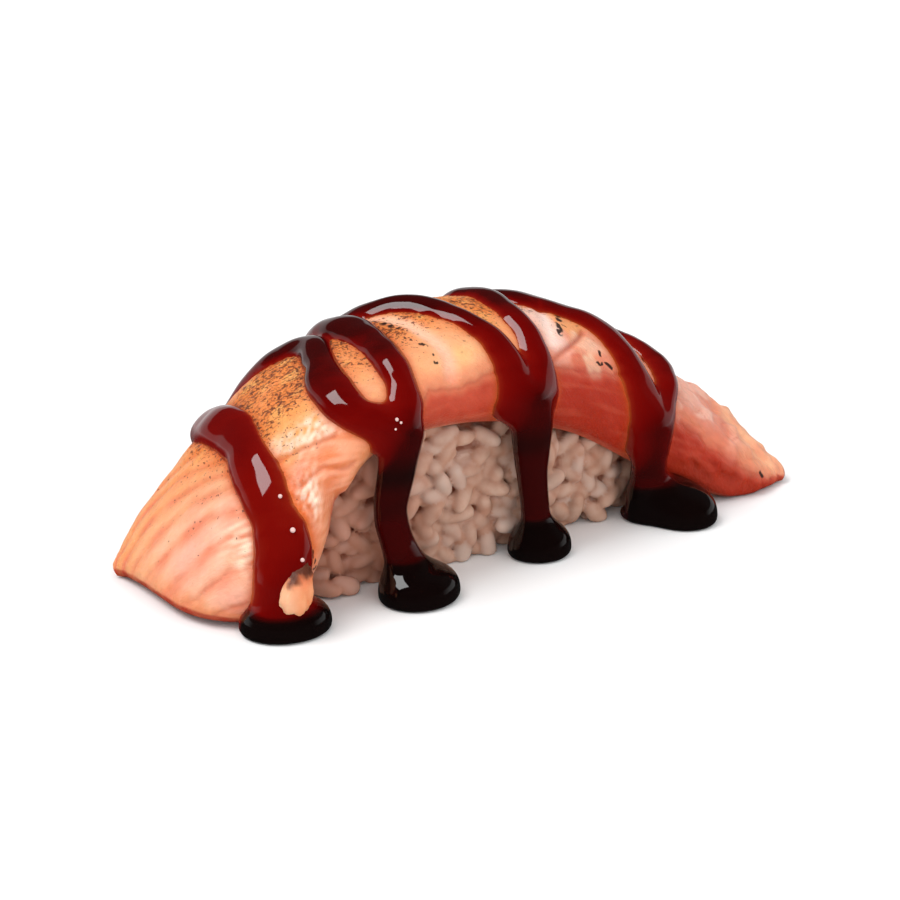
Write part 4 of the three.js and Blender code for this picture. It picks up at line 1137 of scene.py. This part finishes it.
t.links.new(b.outputs[0], pick.inputs[1])
t.links.new(dim.outputs[0], pick.inputs[2])
t.links.new(pick.outputs[0], [n for n in t.nodes if n.type == "OUTPUT_MATERIAL"][0].inputs[0])
me.materials.append(m_floor)


def toward(az, el):
    """Unit vector from the object towards a place seen at this azimuth (0 is the front) and height."""
    a_, e_ = math.radians(az), math.radians(el)
    return Vector((math.sin(a_) * math.cos(e_), -math.cos(a_) * math.cos(e_), math.sin(e_)))


world = bpy.data.worlds.new("studio")
bpy.context.scene.world = world
world.use_nodes = True
t = world.node_tree
t.nodes.clear()
out = t.nodes.new("ShaderNodeOutputWorld")
bg = t.nodes.new("ShaderNodeBackground")
t.links.new(bg.outputs[0], out.inputs[0])
g = node(t, "TexCoord").outputs["Generated"]
front = toward(-35, 14)
dt = node(t, "VectorMath", operation="DOT_PRODUCT")
t.links.new(g, dt.inputs[0])
dt.inputs[1].default_value = front
facing = ramp(t, maths(t, "MULTIPLY_ADD", dt.outputs["Value"], 0.5, 0.5), [(0.0, 0.70), (0.45, 0.60), (0.62, 0.035), (1.0, 0.01)])
sep = node(t, "SeparateXYZ")
t.links.new(g, sep.inputs[0])
up = ramp(t, sep.outputs[2], [(0.0, 0.9), (0.27, 0.8), (0.30, 0.06), (1.0, 0.04)])
shine = maths(t, "MULTIPLY", facing, up)
lobe_d = node(t, "VectorMath", operation="DOT_PRODUCT")
t.links.new(g, lobe_d.inputs[0])
lobe_d.inputs[1].default_value = toward(15, 35)
fill = ramp(t, maths(t, "MULTIPLY_ADD", lobe_d.outputs["Value"], 0.5, 0.5), [(0.0, 0.45), (0.55, 0.50), (0.80, 0.95), (1.0, 1.25)])
lp = node(t, "LightPath")
val = maths(t, "ADD", fill, maths(t, "MULTIPLY", lp.outputs["Is Glossy Ray"], maths(t, "SUBTRACT", shine, fill)))
val = maths(t, "ADD", val, maths(t, "MULTIPLY", lp.outputs["Is Camera Ray"], maths(t, "SUBTRACT", 1.0, val)))
bg.inputs["Color"].default_value = (1, 1, 1, 1)
t.links.new(val, bg.inputs["Strength"])


def softbox(name, direction, distance, sx, sy, watts, tint=(1, 1, 1)):
    la = bpy.data.lights.new(name, "AREA")
    la.shape = "RECTANGLE"
    la.size, la.size_y = sx, sy
    la.energy = watts
    la.color = tint
    ob = bpy.data.objects.new(name, la)
    ob.location = direction.normalized() * distance + Vector((0, 0, 0.015))
    ob.rotation_euler = direction.to_track_quat("Z", "Y").to_euler()
    bpy.context.scene.collection.objects.link(ob)
    return ob


softbox("key", Vector((-0.49, 0.16, 0.86)), 2.2, 1.16, 1.16, 30.0)

cam_d = bpy.data.cameras.new("camera")
cam_d.lens, cam_d.sensor_width = 100.0, 36.0
cam = bpy.data.objects.new("camera", cam_d)
target = Vector((15.2, 28.476, 0.0)) * 0.001
back = toward(-35, 22)
cam.location = target + back * 0.4028
cam.rotation_euler = back.to_track_quat("Z", "Y").to_euler()
bpy.context.scene.collection.objects.link(cam)
bpy.context.scene.camera = cam
bpy.context.scene.view_settings.view_transform = "Standard"

bpy.context.view_layer.update()
